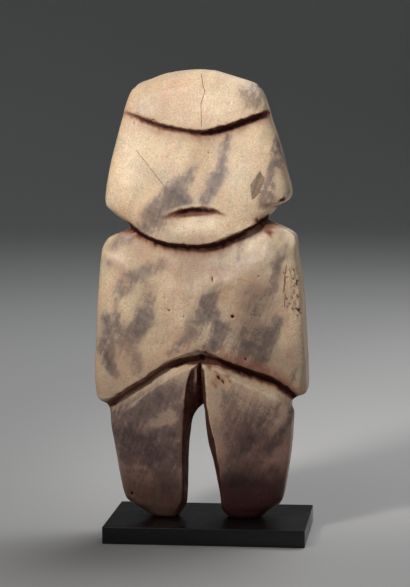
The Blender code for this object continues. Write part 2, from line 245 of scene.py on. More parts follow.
CROWN = thousandths(
    (-1000, 955), (-950, 966), (-750, 979), (-500, 992), (-200, 999), (0, 1000), (150, 999), (350, 993),
    (680, 980.5), (850, 973.5), (950, 967), (1000, 955))
FRONT_PROFILE = thousandths(
    (0, 300), (60, 345), (150, 390), (250, 430), (330, 470), (450, 500), (560, 485), (620, 490), (680, 500),
    (780, 480), (870, 465), (950, 380), (1000, 330))
BACK_PROFILE = thousandths(
    (0, 290), (60, 330), (150, 370), (250, 410), (350, 460), (480, 490), (600, 455), (650, 420), (720, 430),
    (850, 420), (950, 360), (1000, 320))
SQUARENESS = ((0.00, 3.4), (0.20, 6.0), (0.45, 8.5), (0.60, 6.0), (0.66, 4.6), (0.80, 5.0), (1.00, 4.0))

# %% Carved lines
# Each pair is a place across as a share of half the width, then a share of the height.
BROW_LINE = thousandths(
    (-700, 910), (-490, 893), (-320, 880), (-150, 872), (20, 868), (150, 873), (280, 882), (470, 898),
    (660, 915))
MOUTH_LINE = thousandths(
    (-920, 742), (-600, 703), (-360, 681), (-180, 694), (0, 699), (130, 697), (270, 686), (500, 706),
    (840, 748))
CHIN_LINE = thousandths(
    (-920, 716), (-810, 690), (-630, 660), (-400, 629), (-240, 620), (-50, 617), (90, 621), (280, 639),
    (420, 652), (630, 677), (720, 701), (840, 718))
NECK_LINE = thousandths(
    (-680, 648), (-400, 613), (-200, 604), (-40, 602), (100, 606), (300, 622), (620, 667))
CHEST_LINE = thousandths(
    (-950, 590), (-650, 556), (-400, 525), (-40, 505), (280, 528), (600, 570), (900, 604))
WAIST_LINE = thousandths(
    (-1000, 270), (-870, 272), (-700, 294), (-530, 319), (-290, 359), (-110, 378), (0, 384), (100, 380),
    (260, 360), (480, 342), (680, 326), (860, 301), (1000, 287))
GROOVE_LINE = thousandths(
    (-980, 247), (-870, 256), (-700, 282), (-530, 308), (-290, 346), (-110, 357), (0, 358), (100, 357),
    (260, 344), (480, 325), (680, 309), (840, 282), (930, 257))
THIGH_LINE = thousandths(
    (-880, 216), (-780, 230), (-640, 258), (-510, 284), (-240, 325), (-70, 345), (70, 349), (160, 342),
    (350, 315), (610, 288), (810, 260), (870, 240))
# From the top down. None stands for the foot of the brow, which follows the brow itself.
FRONT_LINES = (BROW_LINE, None, MOUTH_LINE, CHIN_LINE, NECK_LINE, CHEST_LINE, WAIST_LINE, GROOVE_LINE,
               THIGH_LINE)
# Heights of the same lines in the middle of the back, where each arches down or up to its own flank.
BACK_MIDDLE = (0.905, 0.893, 0.735, 0.700, 0.652, 0.610, 0.345, 0.330, 0.312)
# Gap between the legs: share of the way down from its top, half gap as a share of half the width.
LEFT_GAP = thousandths(
    (0, 0), (80, 82), (170, 118), (250, 132), (520, 158), (790, 165), (880, 172), (930, 206), (1000, 275))
RIGHT_GAP = thousandths(
    (0, 0), (80, 21), (200, 30), (270, 40), (370, 60), (520, 113), (670, 152), (820, 186), (920, 199),
    (1000, 280))

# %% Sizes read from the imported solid
widest_left = max(share for _, share in LEFT_OUTLINE)
widest_right = max(share for _, share in RIGHT_OUTLINE)
half_width = (figure_high[0] - figure_low[0]) / (widest_left + widest_right)
centre_x = figure_low[0] + widest_left * half_width
full_depth = (figure_high[1] - figure_low[1]) / (max(share for _, share in FRONT_PROFILE)
                                                 + max(share for _, share in BACK_PROFILE))
SOLE_CLEARANCE = 0.00005
sole_z = stand_high[2] + SOLE_CLEARANCE
figure_height = figure_high[2] - sole_z
MM = figure_height / 260.0
print("half width", round(half_width, 5), "centre", round(centre_x, 5), "depth", round(full_depth, 5))

# %% Depths of the carving
# Cuts and rounds are in metres, the rest in shares: of half the width across, of the height up and down.
# A run is the height of a cut's steep side and of the slope below it that fades out.
BROW_CUT = 6.2 * MM
BROW_LEFT_SHARE = 0.62
BROW_TURN = (-0.15, 0.30)
MOUTH_CUT = 3.6 * MM
NECK_CUT = 7.2 * MM
WAIST_CUT = 7.6 * MM
LEG_SETBACK = 2.2 * MM
BACK_NECK_CUT = 4.0 * MM
BACK_WAIST_CUT = 2.6 * MM
CROWN_ROUND = 13.0 * MM
SLOT_EDGE_ROUND = 2.2 * MM
BROW_RUN = (0.012, 0.180)
MOUTH_RUN = (0.010, 0.052)
BACK_NECK_RUN = (0.040, 0.060)
BACK_ARCH = 1.5
MOUTH_CENTRE = -0.045
MOUTH_HALF = 0.37
MOUTH_FLAT = 0.05
SOLE_SHARE = 0.60
SOLE_ROUND = 0.030
SLOT_WAIST_HEIGHT = 0.250
SLOT_WAIST_SHARE = 0.14
SLOT_WAIST_POWER = 1.6
SLOT_EDGE_SHARE = 0.16
SLOT_MOUTH_SHARE = 0.08


def ledge(drop, run):
    """A cut below an edge: 0 above it, 1 at the foot of its steep side, then fading out."""
    steep, fade = run
    return smooth(drop / steep) * (1.0 - smooth((drop - steep) / fade))


def groove(height, lines, cut):
    """A sawn groove: a steep wall down to its bottom line, then a flat slope out to the thigh."""
    edge, bottom, thigh = lines
    wall = smooth((edge - height) / (edge - bottom))
    slope = np.clip((bottom - height) / (bottom - thigh), 0.0, 1.0)
    return cut * wall * (1.0 - slope) + LEG_SETBACK * slope


def quarter_round(value):
    """Rises from 0 to 1 as a quarter circle does, steep at first: sqrt(1 - (1 - t)^2)."""
    return np.sqrt(1.0 - (1.0 - np.clip(value, 0.0, 1.0)) ** 2)


def across(share, height):
    """Place across the body of a share from the centre line to the flank."""
    return share * np.where(share < 0.0, through(LEFT_OUTLINE, height), through(RIGHT_OUTLINE, height))


def section_round(share, height):
    """A squared oval: depth = (1 - |share|^p)^(1/p), 1 in the middle and 0 at the flank."""
    power = through(SQUARENESS, height)
    return np.clip(1.0 - np.abs(share) ** power, 0.0, 1.0) ** (1.0 / power)


def front_carving(place, height):
    """How deep the front is cut: the sum of brow, mouth, neck and waist cuts, in metres."""
    brow_share = BROW_LEFT_SHARE + (1.0 - BROW_LEFT_SHARE) * smooth((place - BROW_TURN[0]) / BROW_TURN[1])
    brow = BROW_CUT * brow_share * ledge(through(BROW_LINE, place) - height, BROW_RUN)
    mouth_width = 1.0 - smooth((np.abs(place - MOUTH_CENTRE) - MOUTH_FLAT) / (MOUTH_HALF - MOUTH_FLAT))
    mouth = MOUTH_CUT * mouth_width * ledge(through(MOUTH_LINE, place) - height, MOUTH_RUN)
    chin, neck_bottom, chest = [through(line, place) for line in (CHIN_LINE, NECK_LINE, CHEST_LINE)]
    under_chin = smooth((chin - height) / (chin - neck_bottom))
    neck = NECK_CUT * under_chin * (1.0 - smooth((neck_bottom - height) / (neck_bottom - chest)))
    waist_lines = [through(line, place) for line in (WAIST_LINE, GROOVE_LINE, THIGH_LINE)]
    return brow + mouth + neck + groove(height, waist_lines, WAIST_CUT)


def back_carving(height, waist_lines):
    """How deep the plainer back is cut: a soft neck and a shallow line at the waist."""
    neck = BACK_NECK_CUT * ledge(BACK_MIDDLE[3] - height, BACK_NECK_RUN)
    return neck + groove(height, waist_lines, BACK_WAIST_CUT)


# %% [markdown]
# ## The grid
# The grid is a stack of closed rings. The front carries twice as many columns as the back, because that is
# where the fine work is. At the crotch a ring parts into one ring for each leg, and the walls of the gap
# close them. Equal steps along the curved section, not equal steps of the share, keep the cells even where
# the slab turns round its flanks.

# %% Columns and rows
FRONT_HALF_COLUMNS = 104
BACK_HALF_COLUMNS = 52
SLOT_COLUMNS = 24
TRUNK_ROWS = (40, 8, 40, 18, 12, 10, 76, 8)
LEG_ROWS = (8, 60, 12)
CROWN_CROWDING = 1.6
MID_HEIGHT = 0.45
FINE_STEPS = 4001
SETTLING_ROUNDS = 12
RING = 2 * (FRONT_HALF_COLUMNS + BACK_HALF_COLUMNS)


def column_shares():
    """Shares from flank to flank with equal steps of length along the section at mid height."""
    fine = -np.cos(np.linspace(0.0, math.pi, FINE_STEPS))
    depth = section_round(fine, np.full_like(fine, MID_HEIGHT)) * full_depth / (2.0 * half_width)
    length = np.concatenate(([0.0], np.cumsum(np.hypot(np.diff(fine), np.diff(depth)))))
    shares = np.interp(np.linspace(0.0, length[-1], 2 * FRONT_HALF_COLUMNS + 1), length, fine)
    shares[FRONT_HALF_COLUMNS] = 0.0
    return shares


def line_heights(line, shares):
    """Height of a carved line in each column. The width changes with height, so a few rounds settle it."""
    height = np.full_like(shares, np.mean([point[1] for point in line]))
    for _ in range(SETTLING_ROUNDS):
        height = 0.5 * (height + through(line, across(shares, height)))
    return height


def guide_rows(front_shares, back_shares):
    """Heights of the crown and of each carved line in every column, front first, then the back."""
    rows = [np.concatenate((through(CROWN, front_shares), through(CROWN, back_shares)))]
    brow = line_heights(BROW_LINE, front_shares)
    for line, middle in zip(FRONT_LINES, BACK_MIDDLE):
        front = brow - BROW_RUN[0] if line is None else line_heights(line, front_shares)
        flank = np.where(back_shares < 0.0, front[0], front[-1])
        rows.append(np.concatenate((front, middle + (flank - middle) * np.abs(back_shares) ** BACK_ARCH)))
    return np.array(rows)


def spread(guides, counts, crowding=1.0):
    """Rows between guide rows, in equal steps, but crowded towards the first guide as t^crowding."""
    rows = [guides[:1]]
    for upper, lower, count in zip(guides[:-1], guides[1:], counts):
        share = np.linspace(0.0, 1.0, count + 1)[1:, None] ** crowding
        rows.append(upper + (lower - upper) * share)
        crowding = 1.0
    return np.concatenate(rows)


def surface_point(share, place, height, waist_lines, slot_edge=1.0):
    """A point of the skin: the profile less the carving, times the roundings of section, crown and sole.
    waist_lines is None in front and holds the three waist lines behind."""
    if waist_lines is None:
        depth = front_carving(place, height) - full_depth * through(FRONT_PROFILE, height)
    else:
        depth = full_depth * through(BACK_PROFILE, height) - back_carving(height, waist_lines)
    crown_drop = (through(CROWN, share) - height) * figure_height / CROWN_ROUND
    sole = SOLE_SHARE + (1.0 - SOLE_SHARE) * quarter_round(height / SOLE_ROUND)
    depth = depth * (section_round(share, height) * quarter_round(crown_drop) * sole * slot_edge)
    return np.stack((centre_x + place * half_width, depth, sole_z + height * figure_height), axis=-1)


front_shares = column_shares()
back_shares = front_shares[::-2][1:-1]
guides = guide_rows(front_shares, back_shares)
print("columns", RING, "guide rows", len(guides))

# %% Head and torso


def trunk_points():
    """Rings from the ridge of the crown down to the crotch."""
    count = len(front_shares)
    heights = spread(guides[:len(TRUNK_ROWS) + 1], TRUNK_ROWS, CROWN_CROWDING)
    front = np.broadcast_to(front_shares, heights[:, :count].shape)
    back = np.broadcast_to(back_shares, heights[:, count:].shape)
    front_points = surface_point(front, across(front, heights[:, :count]), heights[:, :count], None)
    back_points = surface_point(back, across(back, heights[:, count:]), heights[:, count:],
                                guides[7:10, count:][:, None, :])
    return np.concatenate((front_points, back_points), axis=1)


# %% Legs


def leg_columns(side):
    """Ring numbers of one leg's columns, from its outer flank to the middle, in front and behind."""
    last = 2 * FRONT_HALF_COLUMNS
    if side < 0:
        front = np.arange(FRONT_HALF_COLUMNS + 1)
        back = (RING - np.arange(BACK_HALF_COLUMNS + 1)) % RING
    else:
        front = np.arange(last, FRONT_HALF_COLUMNS - 1, -1)
        back = last + np.arange(BACK_HALF_COLUMNS + 1)
    return front, back


def leg_sheet(side, heights, shares, waist_lines):
    """Front or back of one leg: columns run from the outer flank to the edge of the gap."""
    gap_line = LEFT_GAP if side < 0 else RIGHT_GAP
    outline = LEFT_OUTLINE if side < 0 else RIGHT_OUTLINE
    inner = heights[:, -1:]
    down = 1.0 - inner / inner[0]
    gap = through(gap_line, down)
    place = gap + shares * (through(outline, heights) - gap)
    inside = quarter_round((place - gap) * half_width / SLOT_EDGE_ROUND)
    slot_edge = 1.0 - SLOT_EDGE_SHARE * smooth(down / SLOT_MOUTH_SHARE) * (1.0 - inside)
    signed = np.broadcast_to(side * shares, heights.shape)
    return surface_point(signed, side * place, heights, waist_lines, slot_edge)


def gap_wall(start, end):
    """Wall of the gap between its front and back edges, pinched inward half way like a saddle, because
    the gap was sawn from both faces."""
    along = np.linspace(0.0, 1.0, SLOT_COLUMNS + 1)[1:-1]
    inward = 1.0 - np.abs(2.0 * along - 1.0) ** SLOT_WAIST_POWER
    wall = start[:, None] + (end - start)[:, None] * along[None, :, None]
    edge_top = wall[0, :, 2]
    slot_top = edge_top + (sole_z + SLOT_WAIST_HEIGHT * figure_height - edge_top) * inward
    down = (1.0 - (start[:, 2] - sole_z) / (start[0, 2] - sole_z))[:, None]
    wall[..., 2] = sole_z + (slot_top - sole_z) * (1.0 - down)
    wall[..., 0] = centre_x + (wall[..., 0] - centre_x) * (1.0 - SLOT_WAIST_SHARE * inward)
    return wall


def leg_points(side):
    """Rings of one leg below the crotch: front, wall of the gap, back."""
    front, back = leg_columns(side)
    toe = np.full((1, RING), SOLE_ROUND)
    heights = spread(np.concatenate((guides[len(TRUNK_ROWS):], toe, np.zeros((1, RING)))), LEG_ROWS)
    shares = np.abs(front_shares[front])
    front_sheet = leg_sheet(side, heights[:, front], shares, None)
    back_sheet = leg_sheet(side, heights[:, back], shares[::2], guides[7:10, back][:, None, :])
    wall = gap_wall(front_sheet[:, -1], back_sheet[:, -1])
    return np.concatenate((front_sheet, wall, back_sheet[:, ::-1][:, :-1]), axis=1)


# %% Join the rings into one closed skin


def trunk_index(rows):
    """Numbers of the trunk's points. Front and back share the ridge of the crown."""
    index = np.arange(rows * RING).reshape(rows, RING)
    last = 2 * FRONT_HALF_COLUMNS
    index[0, last + 1:] = index[0, last - 2:0:-2]
    return index


def trunk_faces(index):
    """Quads of the trunk. Behind the ridge each face also takes the front's point half way along it."""
    last = 2 * FRONT_HALF_COLUMNS
    back = np.concatenate((index[:, last:], index[:, :1]), axis=1)
    half_way = index[0, last - 1:0:-2]
    ridge = np.stack((back[0, :-1], back[1, :-1], back[1, 1:], back[0, 1:], half_way), axis=-1)
    return sheet_faces(index[:, :last + 1]) + sheet_faces(back[1:]) + ridge.tolist()


def figure_skin():
    """Points and faces of the whole stone: trunk rings, two legs and their flat soles."""
    trunk = trunk_points()
    index = trunk_index(len(trunk))
    points = [trunk.reshape(-1, 3)]
    faces = trunk_faces(index)
    used = index.size
    shared_wall = None
    for side in (-1, 1):
        leg = leg_points(side)
        rows, ring = leg.shape[:2]
        leg_index = used + np.arange(rows * ring).reshape(rows, ring)
        front, back = leg_columns(side)
        wall_start = FRONT_HALF_COLUMNS + 1
        wall_end = wall_start + SLOT_COLUMNS - 1
        leg_index[0, :wall_start] = index[-1, front]
        leg_index[0, wall_end:] = index[-1, back[::-1]][:-1]
        if shared_wall is None:
            shared_wall = leg_index[0, wall_start:wall_end].copy()
        leg_index[0, wall_start:wall_end] = shared_wall
        points.append(leg.reshape(-1, 3))
        used += rows * ring
        leg_faces = ring_faces(leg_index) + [leg_index[-1].tolist()[::-1]]
        faces += leg_faces if side < 0 else [face[::-1] for face in leg_faces]
    return np.concatenate(points), faces


def drop_unused(points, faces):
    """Leaves out points that no face uses, and numbers the rest afresh."""
    used = np.unique(np.concatenate([np.array(face) for face in faces[-4:]]
                                    + [np.array([face for face in faces if len(face) == size]).ravel()
                                       for size in (4, 5)]))
    fresh = np.zeros(len(points), dtype=np.int64)
    fresh[used] = np.arange(len(used))
    return points[used], [fresh[np.array(face)].tolist() for face in faces]


skin_points, skin_faces = drop_unused(*figure_skin())
figure = make_piece("figure_skin", skin_points, skin_faces)
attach(figure, "root")
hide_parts("stone_figure")

# %% [markdown]
# ## Wear, chips and pits
# A stone that was pecked, ground and then buried is never flat. Its big faces wave a little, its edges are
# rubbed down and nicked, and weathering has opened small pits. All of that is real relief here: each point
# sinks a little along its normal. The relief only takes stone away, so the figure stays inside its solid.
# Noise is worked out in numpy from whole numbers, so it is the same in every run.

# %% Noise
HASH_FACTORS = (73856093, 19349663, 83492791)
SEED_FACTOR = 2654435761
MIXING_FACTOR = 1274126177
HASH_MASK = 0xFFFFFFFF
VALUE_MASK = 0xFFFF


def lattice_values(cells, seed):
    """A repeatable value from -1 to 1 for each lattice point: its whole numbers are multiplied by large odd
    factors and mixed bit by bit."""
    mixed = np.full(cells.shape[:-1], seed * SEED_FACTOR & HASH_MASK, dtype=np.int64)
    for axis, factor in enumerate(HASH_FACTORS):
        mixed = mixed ^ (cells[..., axis] * factor & HASH_MASK)
    mixed = ((mixed ^ (mixed >> 13)) * MIXING_FACTOR) & HASH_MASK
    mixed = mixed ^ (mixed >> 16)
    return (mixed & VALUE_MASK) / (VALUE_MASK / 2.0) - 1.0


def noise(points, cell, seed):
    """Smooth noise from -1 to 1: the eight corners of each lattice cube, blended by 3t^2 - 2t^3 per axis."""
    place = points / cell
    base = np.floor(place).astype(np.int64)
    share = smooth(place - base)
    total = np.zeros(points.shape[:-1])
    for corner in np.ndindex(2, 2, 2):
        weight = np.prod(np.where(np.array(corner) == 1, share, 1.0 - share), axis=-1)
        total += weight * lattice_values(base + np.array(corner), seed)
    return total


def noise_shift(cell, seed):
    """Two noises from -1 to 1, one for each direction of the front, for each point of the skin."""
    return np.stack([noise(skin_points, cell * MM, seed + axis) for axis in (0, 1)], axis=1)


# %% Normals and neighbours
mesh = figure.data
normals = np.empty(len(skin_points) * 3, dtype=np.float32)
mesh.vertex_normals.foreach_get("vector", normals)
normals = normals.reshape(-1, 3).astype(float)
edge_ends = np.empty(len(mesh.edges) * 2, dtype=np.int32)
mesh.edges.foreach_get("vertices", edge_ends)
edge_ends = edge_ends.reshape(-1, 2)
neighbour_count = np.bincount(edge_ends.ravel(), minlength=len(skin_points)).astype(float)


def neighbour_mean(values):
    """Mean of a value over each point's neighbours along the edges of the mesh."""
    total = (np.bincount(edge_ends[:, 0], values[edge_ends[:, 1]], len(values))
             + np.bincount(edge_ends[:, 1], values[edge_ends[:, 0]], len(values)))
    return total / neighbour_count


def blurred(values, rounds):
    """A value spread over its neighbourhood: half itself and half its neighbours' mean, in rounds."""
    for _ in range(rounds):
        values = 0.5 * (values + neighbour_mean(values))
    return values


CURVATURE_BLUR = 14
soft_points = np.stack([blurred(skin_points[:, axis], CURVATURE_BLUR) for axis in range(3)], axis=1)
bulge = blurred(np.sum((skin_points - soft_points) * normals, axis=1), 2) / MM
print("bulge in mm, lowest and highest", np.round((bulge.min(), bulge.max()), 2))

# %% Where a point lies on the stone
place_across = (skin_points[:, 0] - centre_x) / half_width
height_share = (skin_points[:, 2] - sole_z) / figure_height
is_front = skin_points[:, 1] < 0.0
front_mm = skin_points[:, [0, 2]] / MM
off_sole = smooth((height_share - 0.004) / 0.012)
facing = smooth(-normals[:, 1] / 0.5)


def to_piece(start, end, points):
    """For each point seen from the front: the share of the way along a straight piece where it lies
    nearest, and its distance in millimetres there."""
    run = end - start
    along = np.clip((points - start) @ run / (run @ run), 0.0, 1.0)
    return along, np.linalg.norm(points - start - along[:, None] * run, axis=1)


def piece_distance(piece, points):
    """Distance in millimetres from each point to a piece given as across, up, across, up."""
    return to_piece(*np.array(piece, dtype=float).reshape(2, 2), points)[1]


def stroke_depth(path, points):
    """Depth in millimetres inside a stroke that swells and narrows: its half width there less the distance
    to its middle line, the most over its pieces. Path points are (across, up, half width)."""
    depth = np.full(len(points), -np.inf)
    for start, end in zip(path[:-1], path[1:]):
        along, away = to_piece(start[:2], end[:2], points)
        depth = np.maximum(depth, start[2] + along * (end[2] - start[2]) - away)
    return depth


# %% Pits
# Each pit is a place on the front in millimetres (across, up), a radius and a depth.
PITS = (
    (-42.5, 239, 1.1, 0.5), (-44, 221, 1, 0.5), (0.7, 222.8, 1, 0.5), (17.8, 215, 0.9, 0.4),
    (14, 194, 1, 0.5), (15, 129.5, 1.7, 0.9), (29.8, 152.7, 1.2, 0.6), (3, 150.7, 1.1, 0.5),
    (-7.4, 147, 1.1, 0.6), (-9.1, 139.2, 0.9, 0.4), (-24, 139.6, 1, 0.5), (-21.6, 132.6, 1.2, 0.6),
    (-13.1, 129.1, 1, 0.5), (29, 127.6, 1, 0.5), (29, 119, 1.1, 0.5), (33.3, 124.4, 0.9, 0.4),
    (-24.8, 113.2, 1, 0.5), (22.4, 105, 1.2, 0.6), (6.3, 93.7, 1.5, 0.7), (9, 91, 1.2, 0.6),
    (13.4, 91.5, 1.3, 0.6), (-3, 104.5, 1.8, 0.9), (-0.5, 108, 1.2, 0.6), (-45, 24, 1.8, 0.8))
SCATTERED_PITS = 520
SCATTER_SEED = 11
SCATTER_RADII = (0.7, 1.3)
SCATTER_DEPTHS = (0.10, 0.35)
RIM_PITS = 70
RIM_SEED = 12
RIM_UP = (126.0, 158.0)
RIM_MIDDLE = 48.0
RIM_SLANT = 0.09
RIM_REACH = 4.2
RIM_RADII = (0.8, 2.0)
RIM_DEPTHS = (0.16, 0.52)


def rim_pits():
    """Pits of the weathered patch by the right edge: random places in its slanting field."""
    chooser = np.random.default_rng(RIM_SEED)
    up = chooser.uniform(*RIM_UP, RIM_PITS)
    side = RIM_MIDDLE + RIM_SLANT * (RIM_UP[1] - up) + chooser.uniform(-RIM_REACH, RIM_REACH, RIM_PITS)
    return np.stack((side, up, chooser.uniform(*RIM_RADII, RIM_PITS), chooser.uniform(*RIM_DEPTHS, RIM_PITS)),
                    axis=1)


def bowl(away, deep):
    """Depth of a pit that falls from its middle as (1 - t^2)^2 and ends at its rim, where t is 1."""
    return deep * np.clip(1.0 - away ** 2, 0.0, 1.0) ** 2


def pit_depths():
    """Named pits and rim pits on the front, and small scattered ones all over: the deepest counts."""
    depth = np.zeros(len(skin_points))
    for x, z, radius, deep in (*PITS, *rim_pits()):
        away = np.hypot(front_mm[:, 0] - x, front_mm[:, 1] - z) / radius
        depth = np.maximum(depth, bowl(away, deep) * is_front)
    chooser = np.random.default_rng(SCATTER_SEED)
    middles = skin_points[chooser.integers(0, len(skin_points), SCATTERED_PITS)] / MM
    radii = chooser.uniform(*SCATTER_RADII, SCATTERED_PITS)
    depths = chooser.uniform(*SCATTER_DEPTHS, SCATTERED_PITS)
    points_mm = skin_points / MM
    for middle, radius, deep in zip(middles, radii, depths):
        near = np.flatnonzero(np.abs(points_mm[:, 2] - middle[2]) < radius)
        away = np.linalg.norm(points_mm[near] - middle, axis=1) / radius
        depth[near] = np.maximum(depth[near], bowl(away, deep))
    return depth


pits = pit_depths()
print("deepest pit in mm", round(float(pits.max()), 2))

# %% Facets
FACET_FADE = 0.45
# Flat places ground on the corners: middle in millimetres, outward direction, reach and depth of the cut.
FACETS = (
    ((-55.0, -15.0, 171.0), (-0.45, -0.60, 0.66), 15.0, 1.8),
    ((50.0, -15.0, 171.0), (0.40, -0.60, 0.70), 14.0, 1.8),
    ((-40.0, -9.0, 17.0), (-0.60, -0.50, -0.62), 12.0, 1.0),
    ((38.0, -9.0, 17.0), (0.60, -0.50, -0.62), 12.0, 1.0),
    ((-52.0, -10.0, 236.0), (-0.80, -0.60, 0.10), 16.0, 0.7),
    ((40.0, -12.0, 250.0), (0.55, -0.60, 0.58), 13.0, 1.0),
    ((54.0, -15.0, 96.0), (0.80, -0.60, -0.10), 16.0, 0.9))


def flattened(points):
    """Ground flats: near each middle, what stands beyond a plane is pressed onto it. The plane lies the
    given depth below the furthest point in its direction."""
    points = points.copy()
    for middle, direction, reach, cut in FACETS:
        direction = np.array(direction) / np.linalg.norm(direction)
        near = np.flatnonzero(np.linalg.norm(points / MM - middle, axis=1) < reach)
        height = points[near] @ direction / MM
        away = np.linalg.norm(points[near] / MM - middle, axis=1) / reach
        over = np.clip(height - (height.max() - cut), 0.0, None) * smooth((1.0 - away) / FACET_FADE)
        points[near] -= (over * MM)[:, None] * direction
    return points


# %% Waves, rubbed edges, chips and eroded places
# Eroded places: both ends (across, up) in millimetres, the reach and the depth of the roughness.
ERODED = (
    (50, 152, 51.5, 131, 7.5, 1.5), (-4, 107, 2, 102, 6, 0.9), (-46, 26, -40, 21.5, 4, 0.6),
    (8, 92, 15, 92, 4, 0.6), (28, 46, 34, 42, 4, 0.2))
# Noises of the relief: size of their cells and their depth, both in millimetres.
WAVES = ((17.0, 0.34), (7.0, 0.13), (2.6, 0.05))
FACETING = (11.0, 0.22)
NICKS = (3.2, 0.30)
CHIPS = (8.0, 0.55)
ROUGH_CELL = 1.9
EDGE_BULGE = 0.10
EDGE_FADE = 0.35


def relief_depth():
    """Stone taken away at each point, in millimetres: waves, facets, edge wear, chips, erosion, pits."""
    taken = np.zeros(len(skin_points))
    for seed, (cell, height) in enumerate(WAVES, start=1):
        taken += height * (0.5 - 0.5 * noise(skin_points, cell * MM, seed))
    taken += FACETING[1] * np.abs(noise(skin_points, FACETING[0] * MM, 7))
    edge = smooth((bulge - EDGE_BULGE) / EDGE_FADE)
    nick = smooth((noise(skin_points, NICKS[0] * MM, 8) - 0.15) / 0.5)
    chip = smooth((noise(skin_points, CHIPS[0] * MM, 9) - 0.25) / 0.4)
    taken += edge * (NICKS[1] * nick + CHIPS[1] * chip)
    rough = 0.5 + 0.5 * noise(skin_points, ROUGH_CELL * MM, 10)
    for *piece, reach, depth in ERODED:
        taken += depth * smooth(1.0 - piece_distance(piece, front_mm) / reach) * rough * facing
    return taken + pits


taken = relief_depth() * off_sole
sunk_points = flattened(skin_points) - normals * (taken * MM)[:, None]
mesh.vertices.foreach_set("co", sunk_points.astype(np.float32).ravel())
mesh.update()
print("relief in mm, mean and deepest", round(float(taken.mean()), 2), round(float(taken.max()), 2))

# %% [markdown]
# ## Where the colours lie
# The stone's grey veins run through it as slanted sheets, so they show as clouds and bands that have nothing
# to do with the carving. They are laid down as soft strokes and stored on the mesh as one number per point.
# The dirt and painted shade in the grooves and hollows, and the pale rubbed edges with their painted
# highlights, do follow the carving, so those numbers come from the shape itself. Other patches of painted
# shade and light are laid down like the stains. The material later turns these numbers into colour and breaks
# up their edges with noise.

# %% Veins
# Each vein is its strength, then a path of (across, up, half width) in millimetres on the front.
VEINS = (
    (0.78, -9.1, 212.5, 1.9, -12.3, 206.1, 4.5, -17, 199.1, 6.8, -24.6, 192.6, 5.9, -31.1, 186.2, 5.6,
     -35.8, 179.1, 4), (0.8, -17.6, 199.1, 4.2, -11.7, 195.5, 2.4),
    (0.34, -23.5, 182.6, 7, -15.2, 186.2, 3.5),
    (0.8, 10.2, 229, 1.2, 8.2, 220.2, 1.9, 6.1, 209.6, 3.3, 3.5, 202.6, 3.5, 0, 196.1, 2.6, -1.7, 193.2,
     0.9), (0.26, 20, 227.2, 1.9, 15.3, 223.7, 1.6),
    (0.72, 40.2, 232.5, 0.9, 37.8, 220.2, 2.1, 37, 209.6, 2.3, 35, 200.2, 3.1, 33.5, 193.8, 1.9),
    (0.5, 46.4, 204.9, 1.6, 45.2, 197.9, 2.1), (0.48, 17, 262.4, 3.4, 22.3, 257.7, 6, 24, 251, 5),
    (0.25, 3.5, 264.7, 2.3, 10.6, 264.2, 2.3),
    (0.62, -26, 158, 1.6, -34, 154.6, 4, -41.8, 150.8, 4.8, -46.8, 145, 4, -49.6, 139.8, 2.6),
    (0.55, -50.2, 132.8, 1.6, -49.5, 123.8, 2.4, -46.3, 114.8, 3.2),
    (0.6, -31.9, 144.3, 2.4, -32.2, 136.6, 4, -35.4, 129.5, 5.6, -39.9, 122.5, 5.2, -43.1, 116, 4, -43.7,
     110.9, 3.6, -40.5, 104.5, 4.4, -38.3, 99.3, 3), (0.5, -34, 130, 3, -38.5, 123, 3.4),
    (0.86, -57.1, 128.3, 1.6, -56.3, 119.9, 3.4, -57.6, 110.9, 5.6, -55.6, 103.2, 4.6, -53.4, 96.8, 3),
    (0.74, 8.8, 150.1, 0.8, 4.5, 143.1, 2.6, -0.6, 135.3, 4.4, -5.1, 128.3, 4.2, -10.3, 119.9, 3.1, -15.4,
     113.5, 2.6, -20.6, 108.3, 1.3),
    (0.92, 2.6, 142.4, 2.1, 3.9, 134.1, 3.1, 7.1, 127, 3.3, 9, 123.8, 4.2, 6.5, 117.3, 3.1, 4.5, 110.9,
     2.6, 1.3, 107, 2.8), (0.36, 31, 146, 4, 30, 132, 10, 23, 110, 13), (0.34, -2, 128, 4, -4, 114, 6),
    (0.58, 41.9, 128.3, 1.5, 38, 120.5, 3.3, 34.1, 112.2, 3.6, 30.3, 103.2, 2.8, 28.4, 98, 1.3),
    (0.45, 24.5, 114.8, 1.8, 19.3, 103.2, 1.5),
    (0.84, 44.8, 168.1, 0.8, 41.5, 161.1, 2.6, 40.6, 154, 2.8, 38.6, 147.6, 1.8, 36.7, 144.3, 1),
    (0.36, -56.6, 161.1, 2.8, -49.5, 158.5, 2.6), (0.45, -54, 170.1, 3.3, -43.7, 172, 2.1),
    (0.45, 17.8, 168.8, 1, 17.4, 162.3, 1), (0.2, 27.1, 159.8, 6.4, 21.9, 146.9, 5.1),
    (0.5, 50.9, 98, 1.8, 48.9, 91.6, 1.3), (0.8, -22, 84, 7, -34.7, 76, 7, -52, 62, 9),
    (0.8, -46, 53, 10, -24, 52, 9.5), (0.74, -16.9, 73.2, 3.6, -16.2, 61.7, 3.8, -19.4, 49, 6.4),
    (0.62, -46, 43, 7, -27, 40.1, 7, -26, 31, 5),
    (0.72, 41.6, 78.2, 1, 32.7, 68.1, 1.8, 22.5, 56.6, 3.6, 13.6, 43.9, 4.3, 11.1, 32.5, 3.3),
    (0.84, 47.9, 73.2, 0.8, 44.1, 63, 1.5, 37.8, 54.1, 2, 30.1, 45.2, 3.1, 18.7, 33.8, 2.5),
    (0.45, 14, 80, 9, 15, 62, 9), (0.46, 30, 74, 6, 20, 50, 9, 18, 34, 7), (0.42, -46, 31, 7, -22, 27, 8),
    (0.34, 36, 38, 6, 14, 30, 6))
